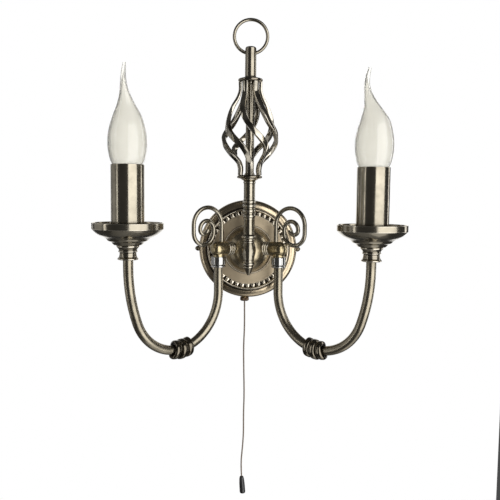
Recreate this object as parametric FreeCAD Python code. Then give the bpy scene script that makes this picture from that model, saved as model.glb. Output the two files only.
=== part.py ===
import FreeCAD, Part
import os
from math import acos, asin, atan2, ceil, cos, degrees, pi, radians, sin, sqrt, tan

# Double arm wall sconce, in millimetres. The wall is the plane y = 0, the light faces -Y, X is to
# the right and Z is up. The origin is on the wall, at the middle of the wall plate.

V = FreeCAD.Vector
X, Y, Z = V(1, 0, 0), V(0, 1, 0), V(0, 0, 1)
ORIGIN = V(0, 0, 0)

FLAT_TURN = 60.0       # degrees: a small turned round is cut with flats of no more than this

# Clearances
SEAT = 0.05            # between two fixed pieces that are pushed or screwed together
RUN = 0.3              # around pieces that move past each other

# Wall plate: a spun shell, measured from the wall outwards
PLATE_RADIUS = 50.5
PLATE_SIDE = 9.0       # straight side wall
PLATE_RIM = 5.0        # rounding between side wall and front
PLATE_WALL = 1.2
PLATE_FACE = 17.0      # seat of the hub, from the wall
FACE_CROWN = 1.6       # how far the face falls from the seat to the bead channel
OPENING_RADIUS = 19.0
LIP_RADIUS = 24.9      # raised lip round the hub
LIP_HEIGHT = 0.9
LIP_WIDTH = 1.0
BEAD_RING = 37.6       # radius of the middle of the bead channel
BEAD_CHANNEL = 4.0
BEAD_DEPTH = 1.2
BEAD_LINE = 0.7        # height of the ridge outside the channel
BEAD_COUNT = 42
BEAD_LENGTH = 3.2      # across the channel
BEAD_WIDTH = 2.8
BEAD_HEIGHT = 1.4
BEAD_SLOPE = 0.7
BEAD_SINK = 0.2        # how far their roots go into the channel's floor

# Hub: a half ball shell on the plate's face
HUB_RADIUS = 22.5
HUB_WALL = 1.6
HUB_LIFT = 0.25        # the ball's middle above the seat
HUB_FLATS = 5
CLAMP_RADIUS = 21.5
CLAMP_THICK = 2.0
WIRE_HOLE = 3.2        # radius of the holes in the clamp plate
WIRE_HOLE_REACH = 12.0 # from the middle

# Wall bracket
STRAP_THICK = 2.0
STRAP_WIDTH = 18.0
STRAP_EAR_WIDTH = 12.0
STRAP_SHOULDER = 8.6   # how far from the ears the strap is as narrow as they are
STRAP_BEND = 2.5       # outer radius of the bend
EAR_DEPTH = 9.6
EAR_GAP = 0.7          # ear to the plate's side wall
SLOT_SPACING = 60.0
SLOT_LENGTH = 12.0
SLOT_WIDTH = 4.5
SIDE_SCREW_DEPTH = 6.0 # of the side screws, from the wall
SIDE_SCREW_RADIUS = 1.95
SIDE_SCREW_LENGTH = 6.5
ACORN_RADIUS = 2.75
ACORN_LENGTH = 4.2
ACORN_SIDE = 1.8       # straight side of the head
ACORN_EASE = 0.4
EARTH_X = -12.0
EARTH_RADIUS = 1.95
EARTH_HEAD_RADIUS = 3.4
EARTH_HEAD_HEIGHT = 2.2
WASHER_RADIUS = 3.9
WASHER_THICK = 0.8
SHANK_BACK = 0.2       # end of the earth screw, from the wall
DRIVE_SLOT = 1.0
TERMINAL_X = 7.5
TERMINAL_WIDTH = 15.0
TERMINAL_HEIGHT = 9.0
TERMINAL_HALF = 8.0
TERMINAL_PITCH = 6.9
TERMINAL_WAY = 3.2     # width of its wire ways and screw holes
TERMINAL_FLOOR = 2.0

# Elbows and arms. An arm lies in an upright plane that is turned forwards from the wall.
SPREAD = 40.0          # degrees between that plane and the wall
ELBOW_REACH = 29.5     # sideways from the middle to the arm's top
ELBOW_RISE = 2.5       # elbow axis above the plate's middle
ELBOW_RADIUS = 7.3
ELBOW_END = 5.0        # of the barrel, from the arm's axis outwards
ELBOW_CROWN = 3.2      # height of its domed end
ELBOW_GROOVE = 0.4
RIBS_END = -9.2
RIB_RADIUS = 7.0
RIB_NECK = 6.0
RIB_PITCH = 2.6
RIB_COUNT = 3
RIB_FLATS = 2
ELBOW_DROP = 5.3       # lower end of the elbow's boss, below the plate's middle
SPIGOT_RADIUS = 4.0
SPIGOT_END = 14.0      # from the ball's middle
ELBOW_NUT_FLATS = 11.0
ELBOW_NUT_FACE = 15.6  # from the ball's middle
WIRE_BORE = 2.5
COLLAR_RADIUS = 7.2
COLLAR_LENGTH = 7.6
COLLAR_RING = 7.6
COLLAR_RING_LENGTH = 3.0
COLLAR_ROLL = 0.6      # how far the ring's edge rolls out
COLLAR_GROOVE = 0.7
ARM_RADIUS = 4.5
ARM_WALL = 1.0
ARM_TOP = -1.0         # the arm's end inside the elbow
ARM_REACH = 101.5      # from the arm's top end to the candle, in the arm's plane
ARM_DROP = 39.4        # where the first bend starts, below the plate's middle
FIRST_BEND = (52.0, 64.0)
SECOND_TURN = 96.0
THIRD_BEND = (150.0, 20.0)
ARM_END = 3.0          # the arm's end inside the cup
ARM_STEP = 15.0        # degrees of bend to each short run of the tube
ARM_SIDES = 16

# Knot on the arm: one strand wound round it
KNOT_STRAND = 2.05     # radius
KNOT_SIDES = 6
KNOT_PITCH = 5.4
KNOT_TURNS = 4
KNOT_PLACE = 19.5      # degrees along the second bend, at the knot's middle

# Scroll on the elbow, a bent rod
SCROLL_RADIUS = 2.05
SCROLL_FOOT = 3.6      # from the arm's axis towards the hub
SCROLL_START = 6.2
SCROLL_RISE = 19.8
SCROLL_BENDS = (17.0, 12.0, 8.2, 4.65)
SCROLL_FALL = 7.0
SCROLL_LIFT = 3.0
SCROLL_SIDES = 8

# Candle: cup, drip pan, tube, holder and bulb, all on one upright axis
CUP_BOTTOM = -2.6
CUP_TOP = 10.5
# Radius, and height above the cup's foot: foot roll, waist, roll, throat and rim
CUP_OUTLINE = ((8.7, 0), (9.3, 1.0), (7.4, 4.1), (7.4, 6.6), (8.6, 7.5), (7.9, 8.3), (10.1, 11.2))
CUP_SHOULDER = 9.6     # radius under the pan
PAN_WALL = 1.0
PAN_RADIUS = 31.15
PAN_TOP = 30.0
PAN_BAND = 24.0        # lower edge of the upright band
PAN_BEAD = 0.4         # how far the band stands out
PAN_STEP = 2.7         # step inside the pan, above the tube's seat
# Radius, and height above the pan's underside: the steps of the bowl
PAN_OUTLINE = ((12.5, 0), (14.9, 2.8), (17.4, 3.7), (19.1, 5.9), (20.6, 6.4), (21.8, 8.1), (28.6, 11.6))
TUBE_RADIUS = 14.55
TUBE_WALL = 0.8
TUBE_EASE = 0.3        # of the tube's upper edge
TUBE_SEAT = 14.3
TUBE_TOP = 80.4
NIPPLE_RADIUS = 3.38
NIPPLE_BORE = 2.3
NIPPLE_BOTTOM = -7.5
NIPPLE_TOP = 31.0
HOLDER_RADIUS = 12.0
HOLDER_STEM = 7.0
HOLDER_SHOULDER = 26.0
HOLDER_SLOPE = 2.0     # height of the slope under its shoulder
HOLDER_FLOOR = 34.0
HOLDER_TOP = 70.0
CAP_RADIUS = 6.9
CAP_BOTTOM = 45.5
CAP_WALL = 0.5
CAP_TOP = 71.0
CAP_TAPER = 2.6        # height of its tapered end
CAP_FLOOR = 4.0        # thickness of the closed end
PIP_RADIUS = 2.2
PIP_HEIGHT = 1.5
SOCKET_WALL = 0.5
SOCKET_TOP = 67.0
SOCKET_LIFT = 3.0      # of the shell above the holder's floor
TONGUE_FOOT = 2.4      # length of the spring tongue's foot
TONGUE_THICK = 0.6
TONGUE_WIDTH = 3.0
BULB_SIDES = 20
# Height and radius of the flame-shaped bulb, and how far its bent tip leans
BULB_RINGS = ((67.0, 5.7, 0.0), (71.5, 6.3, 0.0), (80.4, 13.2, 0.0), (90.0, 16.7, 0.0), (99.7, 17.5, 0.0),
              (112.0, 15.8, 0.0), (122.0, 12.4, 0.0), (132.0, 7.6, 2.4), (142.0, 4.1, 5.8),
              (152.0, 2.5, 7.7), (166.0, 1.6, 5.6))
BULB_HOLLOW = ((67.0, 4.9, 0.0), (71.5, 5.5, 0.0), (80.4, 12.4, 0.0), (99.7, 16.7, 0.0), (122.0, 11.6, 0.0),
               (132.0, 4.0, 0.0))
BULB_TURN = (180.0, 255.0)   # degrees, where the bent tips of the right and left bulbs point

# Column, from the finial up to the ring
VASE_RADIUS = 7.1
COLUMN_GAP = 1.15      # hub to vase
STUD_RADIUS = 3.0
STUD_SHOULDER = 4.0
STUD_BACK = 9.8        # from the wall
STUD_BITE = 4.6        # depth of the stud in the vase
NUT_FLATS = 10.0
NUT_HEIGHT = 3.0
TIE_RADIUS = 2.0
TIE_BOTTOM = -18.0
TIE_TOP = 176.0
FINIAL_TIP = -23.1
# Radius, and height above the finial's tip: cone, roll, groove, roll and neck
FINIAL_OUTLINE = ((1.5, 0.7), (4.9, 7.3), (6.0, 8.4), (4.8, 9.6), (4.8, 10.1), (6.1, 11.3), (4.6, 12.4))
VASE_FOOT = 4.6
VASE_BOTTOM = -9.8
VASE_BELLY = 3.4       # height of the widest place
VASE_NECK = 5.0
VASE_SWELL = 0.5       # bulge of its sides above and below that
VASE_NECK_HEIGHT = 10.7
VASE_ROLL = 5.4        # radius of the roll at its top
STUD_SPOT = 0.3        # depth of the flat that the stud's shoulder seats in
FLANGE_BOTTOM = 13.1
FLANGE_HEIGHT = 3.5
FLANGE_RADIUS = 7.5
FLANGE_EASE = 1.1
SPINDLE_RADIUS = 5.5
COLLAR_BOTTOM = 32.2
COLLAR_TOP = 51.5
COLLAR_NECK = 5.7
COLLAR_RIB = 0.65      # height of its ribs
COLLAR_RIB_HALF = 1.2
COLLAR_RIBS = (35.1, 39.9, 44.8, 48.6)         # heights of their middles
FLARE_RADIUS = 8.4     # of the spindle under the cage
FLARE_HEIGHT = 2.0
FOOT_BOTTOM = 70.8
DISC_THICK = 3.6
DISC_EASE = 0.8
FOOT_RADIUS = 12.3
HEAD_RADIUS = 11.95
CAGE_BOTTOM = FOOT_BOTTOM + DISC_THICK
CAGE_HEIGHT = 88.0
CAGE_TOP = CAGE_BOTTOM + CAGE_HEIGHT
POST_RADIUS = 4.1
BAR_COUNT = 6
BAR_WIDTH = 4.2
BAR_THICK = 2.2
CAGE_TWIST = 90.0
CAGE_START = 30.0      # degrees from the front at the head
CAGE_UPRIGHT = 11.6    # height of the untwisted ends
BAR_STEPS = 14
# Outer radius of the cage against height above its foot disc
CAGE_SHAPE = ((0, 12.0), (7, 12.0), (12.7, 14.2), (20.3, 21.0), (33.6, 27.4), (50.6, 24.2), (65.6, 18.0),
              (73.4, 13.5), (79, 11.6), (88, 11.5))
STEM_RADIUS = 5.3
STEM_HEIGHT = 29.9
STEM_FOOT = 6.1        # radius of its flared foot
STEM_FOOT_HEIGHT = 1.2
STEM_CROWN = 1.8
RING_RADIUS = 15.8
RING_WIRE = 1.6
RING_HEIGHT = 205.0
RING_FLATS = 4         # to each half of the wire's section

# Pull switch and its cord
CORD_X = -3.0
SWITCH_DEPTH = 6.0     # cord axis from the wall
CASE_LEFT = 8.5        # from the cord axis
CASE_RIGHT = 12.5
CASE_BOTTOM = -46.0
CASE_TOP = -24.0
CASE_BACK = 1.5        # from the wall
CASE_FRONT = 10.5
CASE_WALL = 1.0
COVER_THICK = 1.0
BUSH_RADIUS = 3.0
BUSH_BORE = 1.5
BUSH_SHOULDER = 4.2
BUSH_END = -54.6
BUSH_NUT_RADIUS = 4.5
BUSH_NUT_HEIGHT = 4.0
BUSH_NUT_EASE = 0.7
PULL_TRAVEL = 8.0
CAM_PIVOT = 8.0        # from the cord axis
PIN_RADIUS = 1.0
SLIDER_TOP = -27.0
SLIDER_LENGTH = 6.5
SLIDER_HALF = 2.5
CORD_RADIUS = 0.75
PULL_LENGTH = 18.8
PULL_RADIUS = 3.0
PULL_EASE = 0.5
PULL_SHOULDER = 0.7    # bulge of its rounded top
PULL_GRIP = 5.3        # how far the weight takes in the cord
CAM_BACK = 8.8         # from the wall
CAM_THICK = 1.4
CAM_BOSS = 2.8
PIVOT_RADIUS = 1.0
RIB_THICK = 1.0        # of the ribs that guide the slider
SPRING_WIRE = 0.5
SPRING_RADIUS = 2.25

SIDES = ("right", "left")

# Points that the cord hangs through: across and height, and how far forward of its bush
CORD_POINTS = ((-3.0, -30.0, 0.0), (-3.0, -56.0, 0.0), (-2.6, -82.0, -0.3), (-3.5, -104.0, 0.3),
               (-3.0, -130.0, 0.5), (-2.3, -154.0, 0.0), (-2.9, -178.0, -0.4), (-2.6, -198.0, 0.0),
               (-3.7, -214.0, 0.3), (-5.3, -232.0, 0.0), (-4.0, -250.0, -0.2))

# Sizes that follow from the ones above
HUB_CENTRE = V(0, -(PLATE_FACE + HUB_LIFT), 0)
ELBOW_DEPTH = PLATE_FACE + HUB_LIFT + ELBOW_REACH*tan(radians(SPREAD))
HUB_AWAY = ELBOW_REACH/cos(radians(SPREAD))    # ball's middle to the arm's top, in the arm's plane
COLUMN_DEPTH = PLATE_FACE + HUB_LIFT + HUB_RADIUS + COLUMN_GAP + VASE_RADIUS
ARM_BORE = ARM_RADIUS + SEAT
PLATE_INSIDE = PLATE_RADIUS - PLATE_WALL
SLIDER_BOTTOM = SLIDER_TOP - SLIDER_LENGTH
PIN_HEIGHT = (SLIDER_TOP + SLIDER_BOTTOM)/2
CAM_HEIGHT = PIN_HEIGHT - PULL_TRAVEL/2
QUARTER = 1 - sqrt(0.5)                        # rise of a quarter round over its radius


def edges_along(start, *steps):
    """Edges in the XZ plane. A step is a corner, or a corner and how far an arc to it rises right."""
    here = V(start[0], 0, start[1])
    edges = []
    for step in steps:
        rise = step[1] if isinstance(step[0], tuple) else 0
        corner = step[0] if rise else step
        end = V(corner[0], 0, corner[1])
        if rise:
            along = (end - here).normalize()
            via = (here + end)*0.5 + V(along.z, 0, -along.x)*rise
            edges.append(Part.Arc(here, via, end).toShape())
        else:
            edges.append(Part.LineSegment(here, end).toShape())
        here = end
    return edges


def outline(start, *steps):
    """Face in the XZ plane inside a closed outline."""
    return Part.Face(Part.Wire(edges_along(start, *steps, start)))


def flats(start, end, rise, count=0):
    """Corners of the flats that stand for an arc, which rises to the right of its chord."""
    here, there = V(start[0], 0, start[1]), V(end[0], 0, end[1])
    half = here.distanceToPoint(there)/2
    radius = (half**2 + rise**2)/(2*rise)
    along = (there - here).normalize()
    centre = (here + there)*0.5 + V(along.z, 0, -along.x)*(rise - radius)
    turn = 2*degrees(asin(half/radius))
    count = count or max(2, ceil(abs(turn)/FLAT_TURN))
    corners = [centre + swung(here - centre, turn*flat/count) for flat in range(1, count)]
    return [(corner.x, corner.z) for corner in corners] + [end]


def turned(start, *steps):
    """Solid turned about Z from an outline of radius and height, whose arcs are cut as flats."""
    corners = [start]
    for step in steps:
        corners += flats(corners[-1], *step) if isinstance(step[0], tuple) else [step]
    points = [V(radius, 0, height) for radius, height in corners]
    return Part.Face(Part.makePolygon(points + points[:1])).revolve(ORIGIN, Z, 360)


def raised(outline_points, height):
    """Points of radius and height, lifted."""
    return [(radius, height + above) for radius, above in outline_points]


def crown(radius, height):
    """Rise of the arc that makes a dome, level at its top, from its edge to the axis."""
    ball = (radius**2 + height**2)/(2*height)
    return ball - sqrt(ball**2 - (radius**2 + height**2)/4)


def rod(radius, base, along, length):
    """Straight round rod."""
    return Part.makeCylinder(radius, length, base, along)


def upright(radius, bottom, top, x=0, y=0):
    """Round rod along Z between two heights."""
    return rod(radius, V(x, y, bottom), Z, top - bottom)


def block(x0, x1, y0, y1, z0, z1):
    """Box between two corners."""
    return Part.makeBox(x1 - x0, y1 - y0, z1 - z0, V(x0, y0, z0))


def hexagon(flats, height):
    """Six-sided prism that stands on the XY plane."""
    corner = flats/sqrt(3)
    points = [V(corner*cos(radians(60*side)), corner*sin(radians(60*side)), 0) for side in range(7)]
    return Part.Face(Part.makePolygon(points)).extrude(Z*height)


def bent(start, heading, *moves):
    """Path of a bent rod in the XZ plane: a move is a length, or a radius and its degrees to the left."""
    here = V(start[0], 0, start[1])
    edges = []
    for move in moves:
        along = V(cos(radians(heading)), 0, sin(radians(heading)))
        if isinstance(move, tuple):
            radius, turn = move
            side = 1 if turn > 0 else -1
            centre = here + V(-along.z, 0, along.x)*radius*side
            spoke = here - centre
            via, end = (centre + swung(spoke, turn*share) for share in (0.5, 1))
            edges.append(Part.Arc(here, via, end).toShape())
            heading += turn
        else:
            end = here + along*move
            edges.append(Part.LineSegment(here, end).toShape())
        here = end
    return Part.Wire(edges)


def swung(vector, angle):
    """Vector in the XZ plane turned by an angle from X towards Z."""
    c, s = cos(radians(angle)), sin(radians(angle))
    return V(vector.x*c - vector.z*s, 0, vector.x*s + vector.z*c)


def swept(path, radius):
    """Rod of round section along a smooth path."""
    first = path.Edges[0]
    at, along = first.valueAt(first.FirstParameter), first.tangentAt(first.FirstParameter)
    return path.makePipe(Part.Face(Part.Wire(Part.makeCircle(radius, at, along))))


def rounded(start, corner, end):
    """Arc that touches two equally long lines, start to corner and corner to end, at their ends."""
    middle = (start + end)*0.5
    half = start.distanceToPoint(end)/2
    lean = acos(half/start.distanceToPoint(corner))
    via = middle + (corner - middle).normalize()*half*tan(lean/2)
    return Part.Arc(start, via, end).toShape()


def wound(point_at, halves):
    """Smooth path through a winding's points, with two arcs to each half turn."""
    def heading(turn):
        return (point_at(turn + 0.001) - point_at(turn - 0.001)).normalize()

    edges = []
    for half in range(halves):
        start, end = point_at(half/2), point_at((half + 1)/2)
        leave, reach = heading(half/2), heading((half + 1)/2)
        span, both = end - start, leave + reach
        spread = 2*(1 - leave.dot(reach))
        length = (sqrt(span.dot(both)**2 + spread*span.dot(span)) - span.dot(both))/spread
        first, second = start + leave*length, end - reach*length
        middle = (first + second)*0.5
        edges += [rounded(start, first, middle), rounded(middle, second, end)]
    return Part.Wire(edges)


def many_sided(radius, sides, path):
    """Many-sided wire round the start of a path, as thick as a round one of that radius."""
    first = path.Edges[0]
    at, along = first.valueAt(first.FirstParameter), first.tangentAt(first.FirstParameter)
    across = along.cross(Z if abs(along.z) < 0.9 else X).normalize()
    up = along.cross(across).normalize()
    turns = [2*pi*side/sides for side in range(sides)]
    points = [at + across*radius*cos(turn) + up*radius*sin(turn) for turn in turns]
    return Part.makePolygon(points + points[:1])


def winding(point_at, turns, radius, sides, name):
    """Wire wound along a path, whose least gap to itself is printed."""
    steps = 48
    points = [point_at(step/steps) for step in range(turns*steps + 1)]
    gap = min(a.distanceToPoint(b) for i, a in enumerate(points) for b in points[i + steps//2:])
    print(f"{name}: least gap to itself {gap - 2*radius:.2f} mm")
    path = wound(point_at, 2*turns)
    return path.makePipeShell([many_sided(radius, sides, path)], True, False)


def facing_out(shape):
    """Piece turned from standing up on Z to standing out from the wall."""
    return shape.rotate(ORIGIN, X, 90)


def along_arm(shape):
    """Piece laid over from Z to the X axis, which is the arm's plane, at the elbow's height."""
    return shape.rotate(ORIGIN, Y, 90).translate(V(0, 0, ELBOW_RISE))


def on_side(shape, side):
    """Piece moved from the arm's own plane to its place, on the right or mirrored to the left."""
    placed = shape.copy()
    placed.rotate(ORIGIN, Z, -SPREAD)
    placed.translate(V(ELBOW_REACH, -ELBOW_DEPTH, 0))
    return placed if side == "right" else placed.mirror(ORIGIN, X)


def on_candle(shape):
    """Piece moved from its own upright axis to the candle's, in the arm's plane."""
    return shape.translate(V(ARM_REACH, 0, 0))


def on_column(shape):
    """Piece moved from the Z axis to the column's axis."""
    return shape.translate(V(0, -COLUMN_DEPTH, 0))


def wall_plate():
    rim, rim_top = PLATE_RADIUS - PLATE_RIM, PLATE_SIDE + PLATE_RIM
    band = PLATE_FACE - FACE_CROWN
    outer, inner = BEAD_RING + BEAD_CHANNEL/2, BEAD_RING - BEAD_CHANNEL/2
    floor = band - BEAD_DEPTH
    seat_back, floor_back = PLATE_FACE - PLATE_WALL, floor - PLATE_WALL
    lip = PLATE_FACE + LIP_HEIGHT
    lip_inside, round_inside = LIP_RADIUS - LIP_WIDTH, PLATE_RIM - PLATE_WALL
    shell = turned(
        (PLATE_RADIUS, 0), (PLATE_RADIUS, PLATE_SIDE), ((rim, rim_top), PLATE_RIM*QUARTER, 3),
        (outer + 2*BEAD_LINE, band), (outer + BEAD_LINE, band + BEAD_LINE), (outer, band), (outer, floor),
        (inner, floor), (inner, band), (LIP_RADIUS, PLATE_FACE),
        (LIP_RADIUS, lip), (lip_inside, lip), (lip_inside, PLATE_FACE), (OPENING_RADIUS, PLATE_FACE),
        (OPENING_RADIUS, seat_back), (LIP_RADIUS, seat_back), (inner - PLATE_WALL, floor_back),
        (PLATE_INSIDE - round_inside, floor_back),
        ((PLATE_INSIDE, floor_back - round_inside), -round_inside*QUARTER), (PLATE_INSIDE, 0))
    shell = facing_out(shell)
    screw_hole = rod(SIDE_SCREW_RADIUS + SEAT, V(-2*PLATE_RADIUS, -SIDE_SCREW_DEPTH, 0), X, 4*PLATE_RADIUS)
    cord_hole = upright(BUSH_RADIUS + SEAT, -2*PLATE_RADIUS, 0, CORD_X, -SWITCH_DEPTH)
    return shell.cut([screw_hole, cord_hole]).multiFuse(beads(BEAD_SINK - floor))


def beads(root):
    """Teeth in the bead channel, each a block with four sloping sides."""
    half, across = BEAD_WIDTH/2, BEAD_LENGTH/2
    tooth = Part.makeWedge(-half, 0, -across, BEAD_SLOPE - across, BEAD_SLOPE - half,
                           half, BEAD_HEIGHT, across, across - BEAD_SLOPE, half - BEAD_SLOPE)
    tooth.rotate(ORIGIN, X, 180)
    tooth.translate(V(0, root, BEAD_RING))
    ring = []
    for place in range(BEAD_COUNT):
        one = tooth.copy()
        one.rotate(ORIGIN, Y, place*360/BEAD_COUNT)
        ring.append(one)
    return ring


def hub_inside(gap):
    """Hollow of the hub, less a gap all round, whose curve is pressed in flats."""
    radius = HUB_RADIUS - HUB_WALL - gap
    back = -HUB_LIFT - 1
    hollow = turned((0, back), (radius, back), (radius, 0), ((0, radius), radius*QUARTER, HUB_FLATS))
    return facing_out(hollow).translate(HUB_CENTRE)


def hub():
    """Part of a ball that stands on the plate's face, hollow and open to the back."""
    start = -degrees(asin(HUB_LIFT/HUB_RADIUS))
    shell = Part.makeSphere(HUB_RADIUS, HUB_CENTRE, -Y, start, 90).cut(hub_inside(0))
    spigot = along_arm(rod(SPIGOT_RADIUS + SEAT, V(0, 0, -HUB_AWAY), Z, HUB_AWAY))
    stud = rod(STUD_RADIUS + SEAT, V(0, 0, ELBOW_RISE), -Y, COLUMN_DEPTH)
    return shell.cut([on_side(spigot, "right"), on_side(spigot, "left"), stud])


def clamp_plate():
    front = PLATE_FACE - PLATE_WALL
    plate = rod(CLAMP_RADIUS, V(0, CLAMP_THICK - front, 0), -Y, CLAMP_THICK)
    holes = [rod(STUD_RADIUS + SEAT, V(0, 0, ELBOW_RISE), -Y, front + 1)]
    for x in (-WIRE_HOLE_REACH, WIRE_HOLE_REACH):
        holes.append(rod(WIRE_HOLE, V(x, 0, 0), -Y, front + 1))
    return plate.cut(holes)


def hub_stud():
    """Shouldered stud: a nut behind the clamp plate draws the column and hub on to the wall plate."""
    spot = COLUMN_DEPTH - VASE_RADIUS + STUD_SPOT
    front = COLUMN_DEPTH - VASE_RADIUS + STUD_BITE
    shoulder = rod(STUD_SHOULDER, V(0, -HUB_RADIUS, ELBOW_RISE), -Y, spot - SEAT - HUB_RADIUS)
    shoulder = shoulder.cut(Part.makeSphere(HUB_RADIUS + SEAT, HUB_CENTRE))
    shank = rod(STUD_RADIUS, V(0, -STUD_BACK, ELBOW_RISE), -Y, front - STUD_BACK)
    return shoulder.fuse(shank).removeSplitter()


def stud_nut():
    back = PLATE_FACE - PLATE_WALL - CLAMP_THICK - NUT_HEIGHT
    nut = facing_out(hexagon(NUT_FLATS, NUT_HEIGHT)).translate(V(0, -back, ELBOW_RISE))
    return nut.cut(rod(STUD_RADIUS + SEAT, V(0, 0, ELBOW_RISE), -Y, PLATE_FACE))


def elbow_nuts():
    """Two nuts with domed faces that seat on the inside of the hub."""
    nut = hexagon(ELBOW_NUT_FLATS, HUB_RADIUS - ELBOW_NUT_FACE)
    nut = nut.cut(upright(SPIGOT_RADIUS + SEAT, -1, HUB_RADIUS))
    nut = along_arm(nut.translate(V(0, 0, ELBOW_NUT_FACE - HUB_AWAY)))
    seats = [on_side(nut, side).common(hub_inside(SEAT)).Solids[0] for side in SIDES]
    return Part.makeCompound(seats)


def elbow():
    """Ribbed horizontal barrel on a spigot, with a boss below for the arm and a hole for the scroll."""
    ribs_start = RIBS_END - RIB_COUNT*RIB_PITCH
    ribs = [((RIB_NECK, ribs_start + (rib + 1)*RIB_PITCH), RIB_RADIUS - RIB_NECK, RIB_FLATS)
            for rib in range(RIB_COUNT)]
    groove, root = ELBOW_RADIUS - ELBOW_GROOVE, ribs_start - RIB_PITCH
    barrel = turned((0, root), (RIB_NECK, root), (RIB_NECK, ribs_start), *ribs, (ELBOW_RADIUS, RIBS_END),
                    (ELBOW_RADIUS, ELBOW_END), (groove, ELBOW_END + ELBOW_GROOVE),
                    (ELBOW_RADIUS, ELBOW_END + 2*ELBOW_GROOVE),
                    ((0, ELBOW_END + ELBOW_CROWN), crown(ELBOW_RADIUS, ELBOW_CROWN - 2*ELBOW_GROOVE)))
    boss = upright(COLLAR_RADIUS, -ELBOW_DROP, ELBOW_RISE)
    ball = Part.makeSphere(HUB_RADIUS + SEAT, V(-HUB_AWAY, 0, 0))
    spigot = along_arm(upright(SPIGOT_RADIUS, SPIGOT_END - HUB_AWAY, 0))
    wire_way = along_arm(upright(WIRE_BORE, -HUB_AWAY, 0))
    bores = [wire_way, upright(WIRE_BORE, ARM_TOP, ELBOW_RISE), upright(ARM_BORE, -ELBOW_DROP - 1, ARM_TOP),
             upright(SCROLL_RADIUS + SEAT, SCROLL_START, ELBOW_RISE + 2*ELBOW_RADIUS, -SCROLL_FOOT)]
    return along_arm(barrel).fuse(boss).cut(ball).fuse(spigot).cut(bores)


def collar():
    top = -ELBOW_DROP
    ring = top - COLLAR_LENGTH
    bottom, edge = ring - COLLAR_RING_LENGTH, COLLAR_RING - COLLAR_ROLL
    return turned((ARM_BORE, bottom), (edge, bottom), ((edge, ring - COLLAR_GROOVE), COLLAR_ROLL),
                  (COLLAR_RADIUS - COLLAR_GROOVE, ring), (COLLAR_RADIUS, ring), (COLLAR_RADIUS, top),
                  (ARM_BORE, top))


def second_bend():
    """Radius of the arm's second bend, which makes up the rest of its reach."""
    first, third = FIRST_BEND, THIRD_BEND
    reach = first[0]*(1 - cos(radians(first[1]))) + third[0]*(1 - cos(radians(third[1])))
    return (ARM_REACH - reach)/(cos(radians(first[1])) + cos(radians(third[1])))


def arm_path():
    first, second, third = FIRST_BEND, (second_bend(), SECOND_TURN), THIRD_BEND
    height = -ARM_DROP - first[0]*sin(radians(first[1]))
    height += second[0]*(sin(radians(first[1])) - sin(radians(third[1]))) + third[0]*sin(radians(third[1]))
    return bent((0, ARM_TOP), -90, ARM_DROP + ARM_TOP, first, second, third, ARM_END - height)


def tube_along(path, radius):
    """Many-sided rod in short straight runs along the bends of a path in the XZ plane."""
    def section(edge, place):
        at, across = edge.valueAt(place), edge.tangentAt(place).cross(Y)
        turns = [2*pi*side/ARM_SIDES for side in range(ARM_SIDES + 1)]
        return Part.makePolygon([at + (across*cos(turn) + Y*sin(turn))*radius for turn in turns])

    sections = []
    for edge in path.Edges:
        bend = degrees(edge.Length/edge.Curve.Radius) if hasattr(edge.Curve, "Radius") else 0
        count = max(1, round(bend/ARM_STEP))
        first, last = edge.FirstParameter, edge.LastParameter
        sections += [section(edge, first + (last - first)*run/count) for run in range(count)]
    return Part.makeLoft([*sections, section(edge, last)], True, True)


def arm():
    path = arm_path()
    return tube_along(path, ARM_RADIUS).cut(tube_along(path, ARM_RADIUS - ARM_WALL))


def knot():
    """One strand wound round the arm's second bend."""
    radius, turn = FIRST_BEND
    bend = second_bend()
    slack = bend*(1 - cos(radians(ARM_STEP/2)))
    away = ARM_RADIUS + SEAT + slack + KNOT_STRAND
    centre = V(radius - (radius - bend)*cos(radians(turn)), 0, -ARM_DROP - (radius - bend)*sin(radians(turn)))

    def strand_at(turns):
        along = KNOT_PLACE + degrees((turns - KNOT_TURNS/2)*KNOT_PITCH/bend)
        out = swung(V(-1, 0, 0), turn + along)
        return centre + out*(bend + away*cos(2*pi*turns)) + Y*away*sin(2*pi*turns)

    return winding(strand_at, KNOT_TURNS, KNOT_STRAND, KNOT_SIDES, "knot")


def scroll():
    outer, middle, inner, tip = SCROLL_BENDS
    path = bent((-SCROLL_FOOT, SCROLL_START), 90, SCROLL_RISE, (outer, -180), SCROLL_FALL, (middle, -180),
                SCROLL_LIFT, (inner, -180), (tip, -180))
    return path.makePipe(Part.Face(many_sided(SCROLL_RADIUS, SCROLL_SIDES, path)))


def cup():
    bore = NIPPLE_RADIUS + SEAT
    return on_candle(turned((ARM_BORE, CUP_BOTTOM), *raised(CUP_OUTLINE, CUP_BOTTOM), (CUP_SHOULDER, CUP_TOP),
                            (bore, CUP_TOP), (bore, ARM_END), (ARM_BORE, ARM_END)))


def drip_pan():
    """Pressed pan with a stepped bowl and an upright band."""
    inside, bore = PAN_RADIUS - PAN_WALL, NIPPLE_RADIUS + SEAT
    bottom, floor = CUP_TOP, CUP_TOP + PAN_WALL
    foot, step = PAN_OUTLINE[0][0], PAN_OUTLINE[3][0]
    brim, brim_height = PAN_OUTLINE[-1]
    return on_candle(turned(
        (bore, bottom), *raised(PAN_OUTLINE, bottom), (PAN_RADIUS - PAN_BEAD, PAN_BAND - PAN_BEAD),
        (PAN_RADIUS, PAN_BAND), (PAN_RADIUS, PAN_TOP), (inside, PAN_TOP), (inside, PAN_BAND + PAN_WALL),
        (brim - PAN_WALL, bottom + brim_height + PAN_WALL), (step, TUBE_SEAT + PAN_STEP),
        (TUBE_RADIUS + 2*PAN_WALL, TUBE_SEAT), (TUBE_RADIUS - TUBE_WALL, TUBE_SEAT),
        (foot - PAN_WALL, floor), (bore, floor)))


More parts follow.
